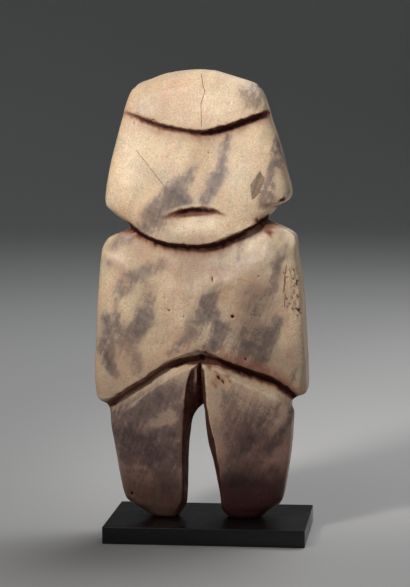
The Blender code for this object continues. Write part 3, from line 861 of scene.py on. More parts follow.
# Cream places that stay clear of the grey, in the same form.
CLEARINGS = (
    (0.9, -28.9, 64.3, 2.7, -22, 70.6, 3), (0.7, -44.8, 37.6, 1.2, -35.9, 35.7, 1),
    (0.55, 36.5, 73.2, 1.2, 27.6, 60.4, 1.2), (0.7, 47.9, 60.4, 1.8, 32.7, 38.8, 1.6),
    (0.8, -45.5, 138, 2, -44, 130, 2.4), (0.6, -31, 118, 2.5, -30, 104, 3))
# The paths hold at VEIN_DEPTH millimetres from the middle, and lean further off with each one behind it.
VEIN_DEPTH = -19.0
VEIN_LEAN = (0.35, 0.50)
# Noises: size of the cells in millimetres, seed, and reach in millimetres or strength.
VEIN_WARPS = ((10.0, 21, 1.1), (4.0, 23, 1.0), (1.8, 25, 0.6))
VEIN_WARP_GROWTH = 0.05
VEIN_BLUR_GROWTH = 0.05
VEIN_SWELL = 0.70
VEIN_SOFTNESS = (1.6, 0.55)
VEIN_CLOUDS = ((7.0, 31, 0.22), (3.0, 32, 0.22), (1.4, 33, 0.26))
VEIN_FILL = 0.92
VEIN_MOST = 1.25


def vein_density():
    """Density of the grey veins from 0 to 1. Each vein is full inside and fades out over a softness that
    grows with its width. What one vein leaves clear the next may still cover: 1 - (1 - a)(1 - b). Noise
    bends the places, more so towards the back, and thins the grey in clouds."""
    behind = skin_points[:, 1] / MM - VEIN_DEPTH
    places = front_mm - np.outer(behind, VEIN_LEAN)
    for cell, seed, reach in VEIN_WARPS:
        places = places + reach * (1.0 + VEIN_WARP_GROWTH * behind)[:, None] * noise_shift(cell, seed)
    clear = np.ones(len(skin_points))
    blur = 1.0 + VEIN_BLUR_GROWTH * np.clip(behind, 0.0, None)
    for strength, *numbers in VEINS:
        path = np.reshape(numbers, (-1, 3))
        soft = VEIN_SOFTNESS[0] + VEIN_SOFTNESS[1] * path[:, 2].max()
        inside = stroke_depth(path, places) + VEIN_SWELL
        clear *= 1.0 - strength * smooth(0.5 + 0.5 * inside / (soft * blur))
    cloud = sum(height * noise(skin_points, cell * MM, seed) for cell, seed, height in VEIN_CLOUDS)
    density = (1.0 - clear) * np.clip(VEIN_FILL + cloud, 0.0, VEIN_MOST)
    for strength, *numbers in CLEARINGS:
        inside = stroke_depth(np.reshape(numbers, (-1, 3)), places)
        density *= 1.0 - strength * smooth(0.5 + 0.5 * inside / VEIN_SOFTNESS[0])
    return density


vein = vein_density()

# %% Dirt and painted shade in the hollows, pale edges with painted highlights, and warm stains
# Reaches and heights of the lines are shares of the figure's height. Each line lays dirt and painted shade
# along the foot of a carved wall, with a halo of painted shade that reaches further on the shaded side. A
# pair for dirt and shade or for blur is its value on the left and what the right adds. The mouth's pair falls
# by its second number towards the corners.
GROOVE_BLUR = 0.0085
LINE_DROP = 0.006
SHADE_HALO_REACH = (3.0, 1.3)
SHADE_HALO_STRENGTH = 0.46
BROW_DIRT_AND_SHADE = (0.66, 0.22)
MOUTH_DIRT_AND_SHADE = (0.95, 1.25)
WAIST_DIRT_AND_SHADE = (0.52, 0.48)
MOUTH_BLUR = 0.75
NECK_BLUR = 0.8
WAIST_BLUR = (0.60, 0.90)
DIRT_AND_SHADE_NOISES = ((2.2, 51, 0.0022), (1.1, 52, 0.0015))
LEVELS = 120
GAP_MIDDLE = -0.03
NEAR_GAP = 0.34
GAP_TOP = 0.40
GAP_SHADE = 0.62
FACE_DEPTH = 3.5
PATCH_WARP = 2.4
CHEST_SPAN = (0.46, 0.66)
BESIDE_GAP = (-0.30, 0.02)
PALE_EDGE_BULGE = 0.14
PIT_DIRT = (0.18, 0.5)
VEINS_SHOW = 0.85
MOST_WORN_AND_HIGHLIGHT = 1.3
# Stains and painted patches: both ends on the front in millimetres, the reach and the strength. The warm ones
# are iron stains in the stone.
WARM_STAINS = (
    (-30, 236, -22, 252, 9, 0.7), (-46, 192, -40, 186, 8, 0.8), (-14, 244, -4, 252, 8, 0.4),
    (18, 180, 34, 190, 7, 0.5), (-30, 152, 0, 157, 7, 0.6), (20, 150, 31, 146, 5, 0.5),
    (-22, 142, -16, 116, 9, 0.6), (-50, 92, -30, 100, 7, 0.5), (11, 144, 20, 136, 8, 0.8),
    (50.5, 152, 53, 122, 7, 1), (30, 92, 50, 84, 4, 0.5), (-56, 168, -46, 150, 5, 0.4),
    (6, 94, 14, 91, 4, 1), (-34, 166, -8, 162, 9, 0.6), (-48, 98, -44, 108, 9, 0.7),
    (-34, 102, -14, 112, 9, 0.8), (-42, 26, -18, 22, 12, 0.7), (24, 40, 46, 52, 10, 0.7),
    (12, 20, 40, 24, 12, 0.8), (8, 76, 20, 60, 9, 0.25))
# Dark stains of dirt; the one under the right jaw is painted shade.
DIRT_AND_SHADE_STAINS = (
    (-14, 103, 0, 101, 4.5, 0.45), (0, 101, 8, 93, 4.5, 0.45), (-5, 98, -4, 84, 4, 0.5),
    (31.5, 182.5, 36, 179.5, 3.4, 0.8), (-5, 158, 6, 153, 2, 0.25), (7, 101, 31, 95.5, 3, 0.5),
    (31, 95.5, 54, 85, 3, 0.5), (51.5, 149, 53, 132, 4.5, 0.12), (40, 193.5, 45, 194.5, 2, 0.85),
    (-16, 92, -15.5, 40, 2, 0.3), (-50, 249, -30, 239, 2.5, 0.3), (-3, 111, 3, 104, 3.2, 0.52),
    (3, 104, 13, 99.5, 3.2, 0.52), (4.5, 90, 12, 93, 2.8, 0.55), (-20, 106, -8, 110, 2.6, 0.34))
# Pale patches: rubbed pale places and painted highlights, on the chin, along the waist band and along the
# left and right edges.
PALE_AND_HIGHLIGHT_STAINS = (
    (-20, 181, 6, 184.5, 6, 1.3), (0, 253, 13, 250, 9, 1.2), (13, 220, 22, 202, 7, 0.4),
    (-34, 226, -16, 216, 8, 0.8), (-50, 80, -14, 101, 2.6, 1.3), (10, 98, 52, 82, 2.6, 0.7),
    (-50, 163, -40, 160, 4, 0.9), (-50, 142, -46, 134, 4, 0.7), (-22, 146, -14, 128, 6, 0.7),
    (30, 168, 36, 160, 5, 0.8), (-44, 219, -40, 206, 6, 0.5), (49, 168, 55, 98, 5, 1.1))
# Painted shade in patches: where the light falls off on the legs, the feet and the lower right of the torso,
# under the chin and across the chest.
PAINTED_SHADE_STAINS = (
    (24, 58, 38, 56, 17, 0.62), (8, 20, 44, 22, 24, 1.3), (-44, 20, -18, 18, 19, 0.84),
    (-58, 168, -42, 174, 5, 0.35), (30, 104, 52, 104, 13, 0.36), (28, 138, 27, 112, 14, 0.6),
    (-10, 160, 4, 160, 14, 0.5), (44, 169, 24, 159, 10, 0.32), (24, 159, 6, 146, 10, 0.32),
    (-36, 162, -28, 158, 12, 0.2), (-34, 250, -26, 258, 12, 0.16))


def fading(away):
    """e^(-t^2), 1 in the middle of a stain or line and near 0 from twice its reach on."""
    return np.exp(-away ** 2)


def patches(stains, unevenness):
    """The most of a few patches at each point of the front, stains as well as painted shade and highlights,
    each its strength times fading(distance / reach). Noise bends the places and makes the strength uneven, so
    that no patch keeps a plain border."""
    places = front_mm + PATCH_WARP * patch_shift
    ragged = 1.0 - unevenness * (0.5 - 0.5 * noise(skin_points, 1.7 * MM, 43))
    total = np.zeros(len(skin_points))
    for *piece, reach, strength in stains:
        total = np.maximum(total, strength * fading(piece_distance(piece, places) / reach))
    return total * ragged * facing


def depth_between_faces():
    """1 where a point lies well inside the legs' thickness, 0 on their front and back faces. The faces are
    the foremost and the hindmost points near the middle at the same height."""
    level = (height_share * LEVELS).astype(int)
    middle = np.abs(place_across) < NEAR_GAP
    front, back = np.full(LEVELS + 2, np.inf), np.full(LEVELS + 2, -np.inf)
    np.minimum.at(front, level[middle], skin_points[middle, 1])
    np.maximum.at(back, level[middle], skin_points[middle, 1])
    behind = skin_points[:, 1] - front[level]
    ahead = back[level] - skin_points[:, 1]
    return smooth((np.minimum(behind, ahead) / MM - FACE_DEPTH) / 1.5)


def groove_dirt_and_shade():
    """Dirt and painted shade along the foot of each carved wall, strength times fading(distance / reach),
    with a wider and fainter halo of painted shade. The right half of the brow and of the waist holds more of
    it, and the walls of the gap between the legs get painted shade."""
    brow, mouth, neck, waist = [
        through(line, place_across) + drop - height_share for line, drop in
        ((BROW_LINE, -0.70 * BROW_RUN[0]), (MOUTH_LINE, -0.7 * MOUTH_RUN[0]), (NECK_LINE, LINE_DROP),
         (GROOVE_LINE, LINE_DROP))]
    from_middle = (place_across - MOUTH_CENTRE) / MOUTH_HALF
    mouth_dirt_and_shade = np.clip(MOUTH_DIRT_AND_SHADE[0] - MOUTH_DIRT_AND_SHADE[1] * from_middle ** 2, 0.0, 1.0)
    brow_right = smooth((place_across + 0.08) / 0.22)
    waist_right = smooth((place_across - 0.06) / 0.20)
    brow_fade = 1.0 - 0.5 * smooth((np.abs(place_across) - 0.50) / 0.20)
    # Each line: height above it, reach, strength, and 1 or -1 for a shade that falls below or above it.
    lines = (
        (brow, GROOVE_BLUR, (BROW_DIRT_AND_SHADE[0] + BROW_DIRT_AND_SHADE[1] * brow_right) * brow_fade, 1.0),
        (mouth, MOUTH_BLUR * GROOVE_BLUR, mouth_dirt_and_shade, 1.0),
        (neck, NECK_BLUR * GROOVE_BLUR, 1.0, 1.0),
        (waist, (WAIST_BLUR[0] + WAIST_BLUR[1] * waist_right) * GROOVE_BLUR,
         WAIST_DIRT_AND_SHADE[0] + WAIST_DIRT_AND_SHADE[1] * waist_right, -1.0))
    ragged = sum(height * noise(skin_points, cell * MM, seed) for cell, seed, height in DIRT_AND_SHADE_NOISES)
    line_dirt_and_shade = np.zeros(len(skin_points))
    for away, reach, strength, shaded_side in lines:
        core = strength * fading((away + ragged) / reach)
        wide = reach * np.where(away * shaded_side > 0.0, *SHADE_HALO_REACH)
        shade_halo = SHADE_HALO_STRENGTH * strength * fading((away + 2.0 * ragged) / wide)
        line_dirt_and_shade = np.maximum.reduce((line_dirt_and_shade, core, shade_halo))
    # Painted shade on the walls of the gap between the legs and deep between their faces, below the gap's
    # top.
    near_gap = smooth((NEAR_GAP - np.abs(place_across - GAP_MIDDLE)) / 0.08)
    near_gap = near_gap * smooth((GAP_TOP - height_share) / 0.03)
    sideways = smooth((np.abs(normals[:, 0]) - 0.45) / 0.3)
    gap = near_gap * np.maximum(sideways, depth_between_faces())
    return np.maximum(line_dirt_and_shade * is_front, GAP_SHADE * gap)


patch_shift = noise_shift(4.0, 41)
# Concave places are darkened too, except on the chest below the neck.
hollow = smooth((-bulge - EDGE_BULGE) / EDGE_FADE)
chest = smooth((height_share - CHEST_SPAN[0]) / 0.04) * smooth((CHEST_SPAN[1] - height_share) / 0.04)
# One mask of dirt and painted shade: grooves, gap, concave places, dark stains and the dirt in pits.
dirt_and_shade = np.maximum.reduce((0.9 * groove_dirt_and_shade(), 0.50 * hollow * (1.0 - chest), patches(DIRT_AND_SHADE_STAINS, 0.90)))
dirt_and_shade = np.clip(dirt_and_shade + smooth((pits - PIT_DIRT[0]) / PIT_DIRT[1]), 0.0, 1.0)
# Edges are rubbed pale and carry a painted highlight, but not the one that lies in shade beside the gap, on
# the left leg.
beside_gap = smooth((place_across - BESIDE_GAP[0]) / 0.06) * smooth((BESIDE_GAP[1] - place_across) / 0.04)
beside_gap = beside_gap * smooth((0.36 - height_share) / 0.03)
worn_and_highlight = smooth((bulge - PALE_EDGE_BULGE) / EDGE_FADE) * (1.0 - beside_gap)
warm = patches(WARM_STAINS, 0.50)
# Pale patches and painted highlights, kept off the grey veins.
pale = patches(PALE_AND_HIGHLIGHT_STAINS, 0.40) * (1.0 - VEINS_SHOW * np.clip(vein, 0.0, 1.0))
worn_and_highlight = np.clip(np.maximum(worn_and_highlight, pale), 0.0, MOST_WORN_AND_HIGHLIGHT)
# Painted shade in patches.
painted_shade = np.clip(patches(PAINTED_SHADE_STAINS, 0.10), 0.0, 1.0)

# %% Scar on the cheek
# A sharp-edged patch, given by its corners on the front in millimetres, clockwise.
SCAR_CORNERS = ((30.3, 212.5), (33.5, 208.0), (30.7, 200.0), (26.3, 196.0), (24.7, 203.9))


def scar_depth_inside():
    """Distance in millimetres inside the patch, negative outside: the least over its straight sides."""
    inside = np.full(len(front_mm), np.inf)
    corners = np.array(SCAR_CORNERS)
    for start, end in zip(corners, np.roll(corners, -1, axis=0)):
        side = (end - start) / np.linalg.norm(end - start)
        inside = np.minimum(inside, (front_mm - start) @ np.array((side[1], -side[0])))
    return np.where(is_front, inside, -9.0)


scar = np.clip(scar_depth_inside(), -9.0, 9.0)


# One number per point is kept on the mesh for each mask, for the material to read.
LAYERS = {"vein": vein, "dirt_and_shade": dirt_and_shade, "worn_and_highlight": worn_and_highlight, "warm": warm, "painted_shade": painted_shade, "scar": scar}
for name, values in LAYERS.items():
    layer = mesh.attributes.new(name, "FLOAT", "POINT")
    layer.data.foreach_set("value", values.astype(np.float32))
    print(name, "mean", round(float(values.mean()), 3), "highest", round(float(values.max()), 2))

# %% [markdown]
# ## Node helpers
# A material is a small graph. Writing it out link by link is long, so a class keeps one short call for
# each step. A call makes a node, sets its plain settings, fills each input with a value or a link, and
# hands back the node's output. What several materials share becomes a group with named inputs and outputs.

# %% Node helpers
class Graph:
    """The nodes of a material or of a group, with one short call for each step that comes up often."""

    def __init__(self, tree):
        self.tree = tree

    def fill(self, socket, value):
        """Links an input to the output of another node, or sets its value. A colour is given as three
        numbers here and gets its alpha of 1."""
        if isinstance(value, bpy.types.NodeSocket):
            self.tree.links.new(value, socket)
        else:
            socket.default_value = (*value, 1.0) if socket.type == "RGBA" else value

    def node(self, kind, inputs, **settings):
        """Makes a node. inputs maps an input's name or number to a value or to an output."""
        made = self.tree.nodes.new("ShaderNode" + kind)
        for name, value in settings.items():
            setattr(made, name, value)
        for key, value in inputs.items():
            self.fill(made.inputs[key], value)
        return made.outputs

    def math(self, operation, first, second):
        return self.node("Math", {0: first, 1: second}, operation=operation)[0]

    def times(self, first, second):
        return self.math("MULTIPLY", first, second)

    def plus(self, first, second):
        return self.math("ADD", first, second)

    def minus(self, first, second):
        return self.math("SUBTRACT", first, second)

    def vector(self, operation, *values, result="Vector", **named):
        """Result of a step on vectors."""
        return self.node("VectorMath", {**dict(enumerate(values)), **named}, operation=operation)[result]

    def ramp(self, value, low, high, to_low=0.0, to_high=1.0):
        """A smooth step: to_low where the value is under low, to_high where it is over high."""
        inputs = {"Value": value, "From Min": low, "From Max": high, "To Min": to_low, "To Max": to_high}
        return self.node("MapRange", inputs, interpolation_type="SMOOTHSTEP")["Result"]

    def mix(self, factor, first, second, blend="MIX"):
        """First colour turned into the second by a factor."""
        return self.node("Mix", {0: factor, 6: first, 7: second}, data_type="RGBA", blend_type=blend)[2]

    def noise(self, place, scale, detail=2.0, roughness=0.5, distortion=0.0):
        """Value of a noise texture with features about 1/scale metres wide."""
        inputs = {"Vector": place, "Scale": scale, "Detail": detail, "Roughness": roughness,
                  "Distortion": distortion}
        return self.node("TexNoise", inputs)["Fac"]

    def use(self, group, *values):
        """Places a group with its own values, in the order of its inputs."""
        made = self.tree.nodes.new("ShaderNodeGroup")
        made.node_tree = group
        for socket, value in zip(made.inputs, values):
            self.fill(socket, value)
        return made.outputs


def new_group(name, inputs, outputs):
    """An empty shader node group. inputs maps each name to its plain value, None for a place. Each output
    is a number."""
    tree = bpy.data.node_groups.new(name, "ShaderNodeTree")
    for label, value in inputs.items():
        kind = "NodeSocketFloat" if isinstance(value, float) else "NodeSocketVector"
        socket = tree.interface.new_socket(label, in_out="INPUT", socket_type=kind)
        if value is not None:
            socket.default_value = value
    for label in outputs:
        tree.interface.new_socket(label, in_out="OUTPUT", socket_type="NodeSocketFloat")
    given, result = tree.nodes.new("NodeGroupInput").outputs, tree.nodes.new("NodeGroupOutput").inputs
    return tree, Graph(tree), given, result


def new_material(name):
    """A material with its graph, the inputs of its shader, and the place in the object's own frame."""
    material = bpy.data.materials.new(name)
    material.use_nodes = True
    graph = Graph(material.node_tree)
    shader = material.node_tree.nodes["Principled BSDF"].inputs
    return material, graph, shader, graph.node("TexCoord", {})["Object"]

# %% Group: grain
def make_grain_group():
    """Crystals of a fine stone, or dust on a slab: soft mottle, fine grain, and sparse specks."""
    tree, graph, given, result = new_group(
        "grain", {"Place": None, "Mottle Scale": 60.0, "Grain Scale": 900.0, "Speck Scale": 260.0,
                  "Speck Size": 0.16}, ("Mottle", "Grain", "Specks"))
    place, speck_scale = given["Place"], given["Speck Scale"]
    cells = graph.node("TexVoronoi", {"Vector": place, "Scale": speck_scale})
    lone = graph.math("LESS_THAN", graph.noise(place, speck_scale), 0.50)
    near = graph.ramp(cells["Distance"], 0.0, given["Speck Size"], 1.0, 0.0)
    graph.fill(result["Mottle"], graph.noise(place, given["Mottle Scale"], 4.0, 0.6, 0.4))
    graph.fill(result["Grain"], graph.noise(place, given["Grain Scale"], 2.0, 0.7))
    graph.fill(result["Specks"], graph.times(near, lone))
    return tree


grain_group = make_grain_group()
print("group", grain_group.name, "with", len(grain_group.nodes), "nodes")

# %% Group: streaks
STREAK_SQUEEZE = (1.0, 3.0, 9.0)
COARSER = 0.33


def make_streaks_group():
    """Fine bedding of the stone: noise squeezed along one direction of the front, so that it draws out into
    slanted streaks."""
    tree, graph, given, result = new_group(
        "streaks", {"Place": None, "Slant": (0.0, 0.35, 0.0), "Scale": 300.0}, ("Streaks", "Soft Streaks"))
    turned = graph.node("Mapping", {"Vector": given["Place"], "Rotation": given["Slant"],
                                    "Scale": STREAK_SQUEEZE}, vector_type="TEXTURE")[0]
    graph.fill(result["Streaks"], graph.noise(turned, given["Scale"], 4.0, 0.6, 0.2))
    coarse = graph.times(given["Scale"], COARSER)
    graph.fill(result["Soft Streaks"], graph.noise(turned, coarse, 3.0, 0.55, 0.2))
    return tree


streaks_group = make_streaks_group()
print("group", streaks_group.name, "with", len(streaks_group.nodes), "nodes")

# %% Group: hairline
BEND_SCALE = 180.0
BEND_REACH = 0.0016
CORE_SHARE = 0.4
EDGE_SHARE = 1.6


def make_hairline_group():
    """A thin crack or scratch between two points, seen from the front: the mask is 1 where the distance to
    the straight piece is under the half width. Noise bends the piece a little."""
    tree, graph, given, result = new_group(
        "hairline", {"Place": None, "Start": None, "End": None, "Half Width": 0.0002}, ("Mask",))
    bend = graph.node("TexNoise", {"Vector": given["Place"], "Scale": BEND_SCALE, "Detail": 3.0})["Color"]
    shift = graph.vector("SUBTRACT", bend, (0.5, 0.5, 0.5))
    bent = graph.vector("MULTIPLY_ADD", shift, (BEND_REACH, BEND_REACH, BEND_REACH), given["Place"])
    place, start, end = [graph.vector("MULTIPLY", value, (1.0, 0.0, 1.0))
                         for value in (bent, given["Start"], given["End"])]
    offset = graph.vector("SUBTRACT", place, start)
    whole = graph.vector("SUBTRACT", end, start)
    covered = graph.vector("DOT_PRODUCT", offset, whole, result="Value")
    square = graph.vector("DOT_PRODUCT", whole, whole, result="Value")
    along = graph.node("Clamp", {"Value": graph.math("DIVIDE", covered, square)})[0]
    nearest = graph.vector("SCALE", whole, Scale=along)
    away = graph.vector("LENGTH", graph.vector("SUBTRACT", offset, nearest), result="Value")
    core, edge = [graph.times(given["Half Width"], share) for share in (CORE_SHARE, EDGE_SHARE)]
    depth = graph.node("SeparateXYZ", {0: given["Place"]})["Y"]
    front = graph.math("LESS_THAN", depth, 0.0)
    graph.fill(result["Mask"], graph.times(graph.ramp(away, core, edge, 1.0, 0.0), front))
    return tree


hairline_group = make_hairline_group()
print("group", hairline_group.name, "with", len(hairline_group.nodes), "nodes")

# %% [markdown]
# ## The stone
# The colour is built up in coats, mostly as nature did it: cream stone, grey veins through it, iron stains on
# it, pale rubbed edges where hands have worn the colour away, with painted highlights on edges and lit
# places, and dirt and painted shade in the hollows. Painted shade also darkens some patches and, with the
# legs' own tone, the lower body. Most masks are numbers stored on the mesh, and noise is added to those of
# veins, dirt and shade,
# and scar before a soft step cuts them off, so that their borders are frayed. The last coats are single
# marks:
# the scar, red lines, cracks and specks.

# %% Colours of the stone
CREAM = (0.83, 0.635, 0.415)
CREAM_DEEP = (0.66, 0.47, 0.30)
CREAM_GREY = (0.52, 0.43, 0.31)
PINK = (0.70, 0.43, 0.31)
VEIN_EDGE = (0.48, 0.345, 0.265)
VEIN_GREY = (0.27, 0.200, 0.166)
VEIN_DARK = (0.115, 0.086, 0.078)
IRON_STAIN = (0.70, 0.40, 0.24)
# Dirt and painted shade in the grooves: near black in the middle, reddish brown at the edge.
GROOVE_DIRT_AND_SHADE = (0.034, 0.008, 0.009)
DIRT_AND_SHADE_EDGE = (0.30, 0.105, 0.065)
# Pale rubbed edges and painted highlights.
RUBBED_AND_HIGHLIGHT = (0.90, 0.73, 0.50)
SCAR_BROWN = (0.15, 0.095, 0.052)
CRACK_BROWN = (0.20, 0.085, 0.05)
# Darker and more mauve towards the bottom: painted shade where the light falls off, and the legs' own tone.
LOW_TONE_AND_SHADE = (0.75, 0.62, 0.67)
# Painted shade in patches.
PAINTED_SHADE_TONE = (0.13, 0.066, 0.090)
LINE_RED = (0.52, 0.20, 0.13)
SPARKLE = (0.62, 0.56, 0.50)
SPECK_RED = (0.26, 0.11, 0.07)

# Cracks: start and end on the front in millimetres, and half a width.
CRACKS = (
    (-4.2, 267, -1.3, 257, 0.22), (-1.3, 257, -3.4, 249.8, 0.22), (-3.4, 249.8, -2.6, 237.5, 0.18),
    (-40.6, 223.6, -23.4, 202.6, 0.14), (45.7, 158.5, 44.9, 152.2, 0.26), (45, 151.6, 44.2, 143.6, 0.42),
    (44.9, 143, 44.7, 135.5, 0.22), (29, 44, 33, 44, 0.3))
# Thin red lines on the chest, in the same form.
RED_LINES = (
    (-13, 160.5, -4.5, 158.4, 0.34), (-4.5, 158.4, 2.5, 155.6, 0.4), (2.5, 155.6, 7, 151.6, 0.34),
    (17.5, 151.4, 25, 149.2, 0.36), (25, 149.2, 30.5, 145.8, 0.3), (30.5, 145.8, 36.5, 140, 0.24))


# %% Stone material
def most_of_lines(graph, place, lines):
    """The most of the hairlines' masks."""
    most = None
    for start_x, start_z, end_x, end_z, half in lines:
        ends = [(x * MM, 0.0, z * MM) for x, z in ((start_x, start_z), (end_x, end_z))]
        mask = graph.use(hairline_group, place, *ends, half * MM)["Mask"]
        most = mask if most is None else graph.math("MAXIMUM", most, mask)
    return most


def make_stone():
    """Coats of colour, each laid over the last by its own mask, then dullness and fine relief. Scales count
    features per metre. A ramp starts at its first number and ends at the second."""
    material, graph, shader, place = new_material("veined stone")
    ramp, times, plus, minus = graph.ramp, graph.times, graph.plus, graph.minus
    grain = graph.use(grain_group, place, 55.0, 1100.0, 230.0, 0.15)
    crystals = graph.use(grain_group, place, 90.0, 1500.0, 620.0, 0.22)
    streaks = graph.use(streaks_group, place, (0.0, 0.36, 0.0), 560.0)
    wide = graph.noise(place, 24.0, 3.0, 0.55, 0.5)
    cloud = graph.noise(place, 170.0, 5.0, 0.68, 0.3)
    blotch = graph.noise(place, 75.0, 3.0, 0.6, 0.6)
    vein, dirt_and_shade, worn_and_highlight, warm, painted_shade, scar = [graph.node("Attribute", {}, attribute_name=name)["Fac"]
                                         for name in LAYERS]
    # Three noises around 0, which fray the borders of the masks.
    edge_noise, streak_noise, grain_noise = [times(minus(value, 0.5), strength) for value, strength in (
        (cloud, 0.55), (streaks["Streaks"], 0.80), (grain["Grain"], 1.25))]
    fray = times(plus(plus(edge_noise, streak_noise), grain_noise), ramp(vein, 0.02, 0.30, 0.22, 1.0))
    broken = plus(vein, fray)
    vein_colour = graph.mix(ramp(broken, 0.20, 0.60), VEIN_EDGE, VEIN_GREY)
    vein_colour = graph.mix(ramp(broken, 0.60, 1.10), vein_colour, VEIN_DARK)
    low = plus(graph.node("SeparateXYZ", {0: place})["Z"], times(edge_noise, 0.02))
    stain = times(warm, ramp(grain["Mottle"], 0.30, 0.62))
    rubbed_and_highlight = times(worn_and_highlight, ramp(cloud, 0.30, 0.60, 0.15, 0.60))
    dirt_and_shade = plus(plus(dirt_and_shade, times(edge_noise, 0.6)), times(grain_noise, 0.3))
    scar = ramp(plus(plus(scar, times(edge_noise, 3.6)), times(grain_noise, 2.0)), -0.15, 0.40)
    crack = most_of_lines(graph, place, CRACKS)
    sparkle = times(crystals["Specks"], ramp(crystals["Mottle"], 0.48, 0.66, 0.0, 0.7))
    shade = ramp(grain["Grain"], 0.30, 0.70, 0.80, 1.13)
    # Each coat: its mask, its colour and, where it darkens what is below, how it is blended.
    coats = (
        (ramp(wide, 0.35, 0.70), CREAM_DEEP),
        (ramp(blotch, 0.46, 0.70, 0.0, 0.72), PINK),
        (ramp(grain["Mottle"], 0.44, 0.70, 0.0, 0.62), CREAM_GREY),
        (ramp(streaks["Soft Streaks"], 0.46, 0.72, 0.0, 0.50), CREAM_GREY),
        (ramp(broken, 0.04, 0.57, 0.0, 0.94), vein_colour),
        # Darker towards the bottom: painted shade where the light falls off, and the legs' own tone.
        (ramp(low, 0.045, 0.110, 1.0, 0.0), LOW_TONE_AND_SHADE, "MULTIPLY"),
        (times(stain, 0.75), IRON_STAIN),
        # Pale rubbed edges and painted highlights.
        (rubbed_and_highlight, RUBBED_AND_HIGHLIGHT),
        # Painted shade in patches.
        (painted_shade, PAINTED_SHADE_TONE, "MULTIPLY"),
        # Dirt and painted shade in grooves and hollows: reddish brown at the edge, near black in the middle.
        (ramp(dirt_and_shade, 0.06, 0.45, 0.0, 0.85), DIRT_AND_SHADE_EDGE),
        (ramp(dirt_and_shade, 0.25, 0.72, 0.0, 0.97), GROOVE_DIRT_AND_SHADE),
        (times(scar, ramp(streaks["Streaks"], 0.3, 0.6, 0.70, 0.92)), SCAR_BROWN),
        (times(most_of_lines(graph, place, RED_LINES), 0.55), LINE_RED),
        (times(crack, 0.8), CRACK_BROWN),
        (times(grain["Specks"], 0.62), SPECK_RED),
        (times(sparkle, ramp(vein, 0.10, 0.60)), SPARKLE),
        (1.0, graph.node("CombineColor", {0: shade, 1: shade, 2: shade})[0], "MULTIPLY"))
    colour = CREAM
    for mask, paint, *blend in coats:
        colour = graph.mix(mask, colour, paint, *blend)
    graph.fill(shader["Base Color"], colour)
    graph.fill(shader["Roughness"], plus(ramp(cloud, 0.3, 0.7, 0.40, 0.56), times(dirt_and_shade, 0.22)))
    graph.fill(shader["Specular IOR Level"], ramp(dirt_and_shade, 0.10, 0.60, 0.42, 0.04))
    relief = times(grain["Grain"], 0.35)
    for value, depth in ((crack, 1.0), (scar, 0.5), (grain["Specks"], 0.5)):
        relief = minus(relief, times(value, depth))
    bump = graph.node("Bump", {"Height": relief, "Strength": 0.55, "Distance": 0.0004})
    graph.fill(shader["Normal"], bump["Normal"])
    return material


stone = make_stone()
mesh.materials.append(stone)
print("stone material with", len(stone.node_tree.nodes), "nodes")

# %% [markdown]
# ## The stand
# The black slab is a plain block with finely broken edges. A profile carried round its outline gives those
# edges a true round, which catches the thin line of light that the photograph shows. Its satin black is
# never one flat colour: it has dust, smudges from fingers and a faint grain.

# %% Slab
EDGE_ROUND = 0.6 * MM
EDGE_STEPS = 6
CORNER_STEPS = 8


def slab_outline(inset):
    """The slab's plan as a closed loop: four quarter circles joined by straight sides, moved in by inset."""
    turn = np.linspace(0.0, math.pi / 2.0, CORNER_STEPS + 1)
    middle = 0.5 * (stand_low + stand_high)[:2]
    half = 0.5 * (stand_high - stand_low)[:2] - EDGE_ROUND
    corners = []
    for quarter, signs in enumerate(((1, 1), (-1, 1), (-1, -1), (1, -1))):
        angle = turn + quarter * math.pi / 2.0
        arc = (EDGE_ROUND - inset) * np.stack((np.cos(angle), np.sin(angle)), axis=1)
        corners.append(middle + np.array(signs) * half + arc)
    return np.concatenate(corners)


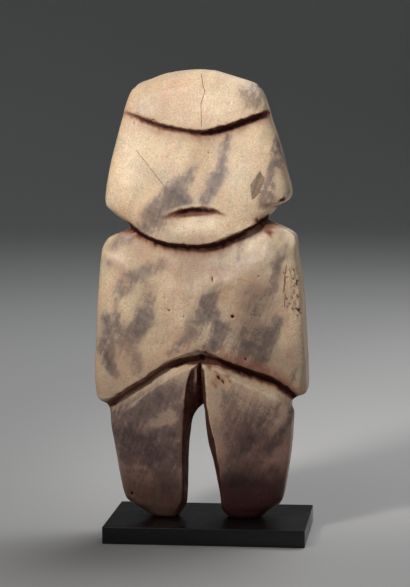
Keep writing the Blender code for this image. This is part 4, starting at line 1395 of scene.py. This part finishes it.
def make_slab():
    """Rings from the underside over the lower edge, up the side and over the upper edge: a quarter circle
    at each edge, and one flat face to close the bottom and the top."""
    turn = np.linspace(0.0, math.pi / 2.0, EDGE_STEPS + 1)
    insets = EDGE_ROUND * (1.0 - np.sin(turn))
    rises = EDGE_ROUND * (1.0 - np.cos(turn))
    rings = [(inset, stand_low[2] + rise) for inset, rise in zip(insets, rises)]
    rings += [(inset, stand_high[2] - rise) for inset, rise in zip(insets[::-1], rises[::-1])]
    points = np.array([np.concatenate((slab_outline(inset), np.full((4 * (CORNER_STEPS + 1), 1), z)), axis=1)
                       for inset, z in rings])
    index = np.arange(points.shape[0] * points.shape[1]).reshape(points.shape[:2])
    faces = [face[::-1] for face in ring_faces(index)] + [index[0].tolist()[::-1], index[-1].tolist()]
    slab = make_piece("stand_slab", points.reshape(-1, 3), faces)
    for flat in (-1, -2):
        slab.data.polygons[flat].use_smooth = False
    return slab


slab = make_slab()
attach(slab, "root")
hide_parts("display_stand")


# %% Slab material
BLACK = (0.005, 0.0045, 0.005)
BLACK_SMUDGED = (0.010, 0.009, 0.009)
DUST = (0.20, 0.18, 0.16)


def make_black():
    """Satin black with smudges in its colour and dullness, dust specks and a faint grain."""
    material, graph, shader, place = new_material("satin black")
    grain = graph.use(grain_group, place, 30.0, 1600.0, 420.0, 0.10)
    colour = graph.mix(graph.ramp(grain["Mottle"], 0.35, 0.75), BLACK, BLACK_SMUDGED)
    graph.fill(shader["Base Color"], graph.mix(graph.times(grain["Specks"], 0.35), colour, DUST))
    graph.fill(shader["Roughness"], graph.ramp(grain["Mottle"], 0.3, 0.7, 0.20, 0.34))
    bump = graph.node("Bump", {"Height": grain["Grain"], "Strength": 0.12, "Distance": 0.0002})
    graph.fill(shader["Normal"], bump["Normal"])
    return material


slab.data.materials.append(make_black())

# %% Floor material
FLOOR_DARK = (0.64, 0.635, 0.62)
FLOOR_LIGHT = (0.68, 0.675, 0.66)


def make_floor_paint():
    """Matt pale paint, a shade lighter in places."""
    material, graph, shader, place = new_material("pale floor")
    graph.fill(shader["Base Color"], graph.mix(graph.noise(place, 3.0), FLOOR_DARK, FLOOR_LIGHT))
    shader["Roughness"].default_value = 0.7
    return material


floor.data.materials.append(make_floor_paint())
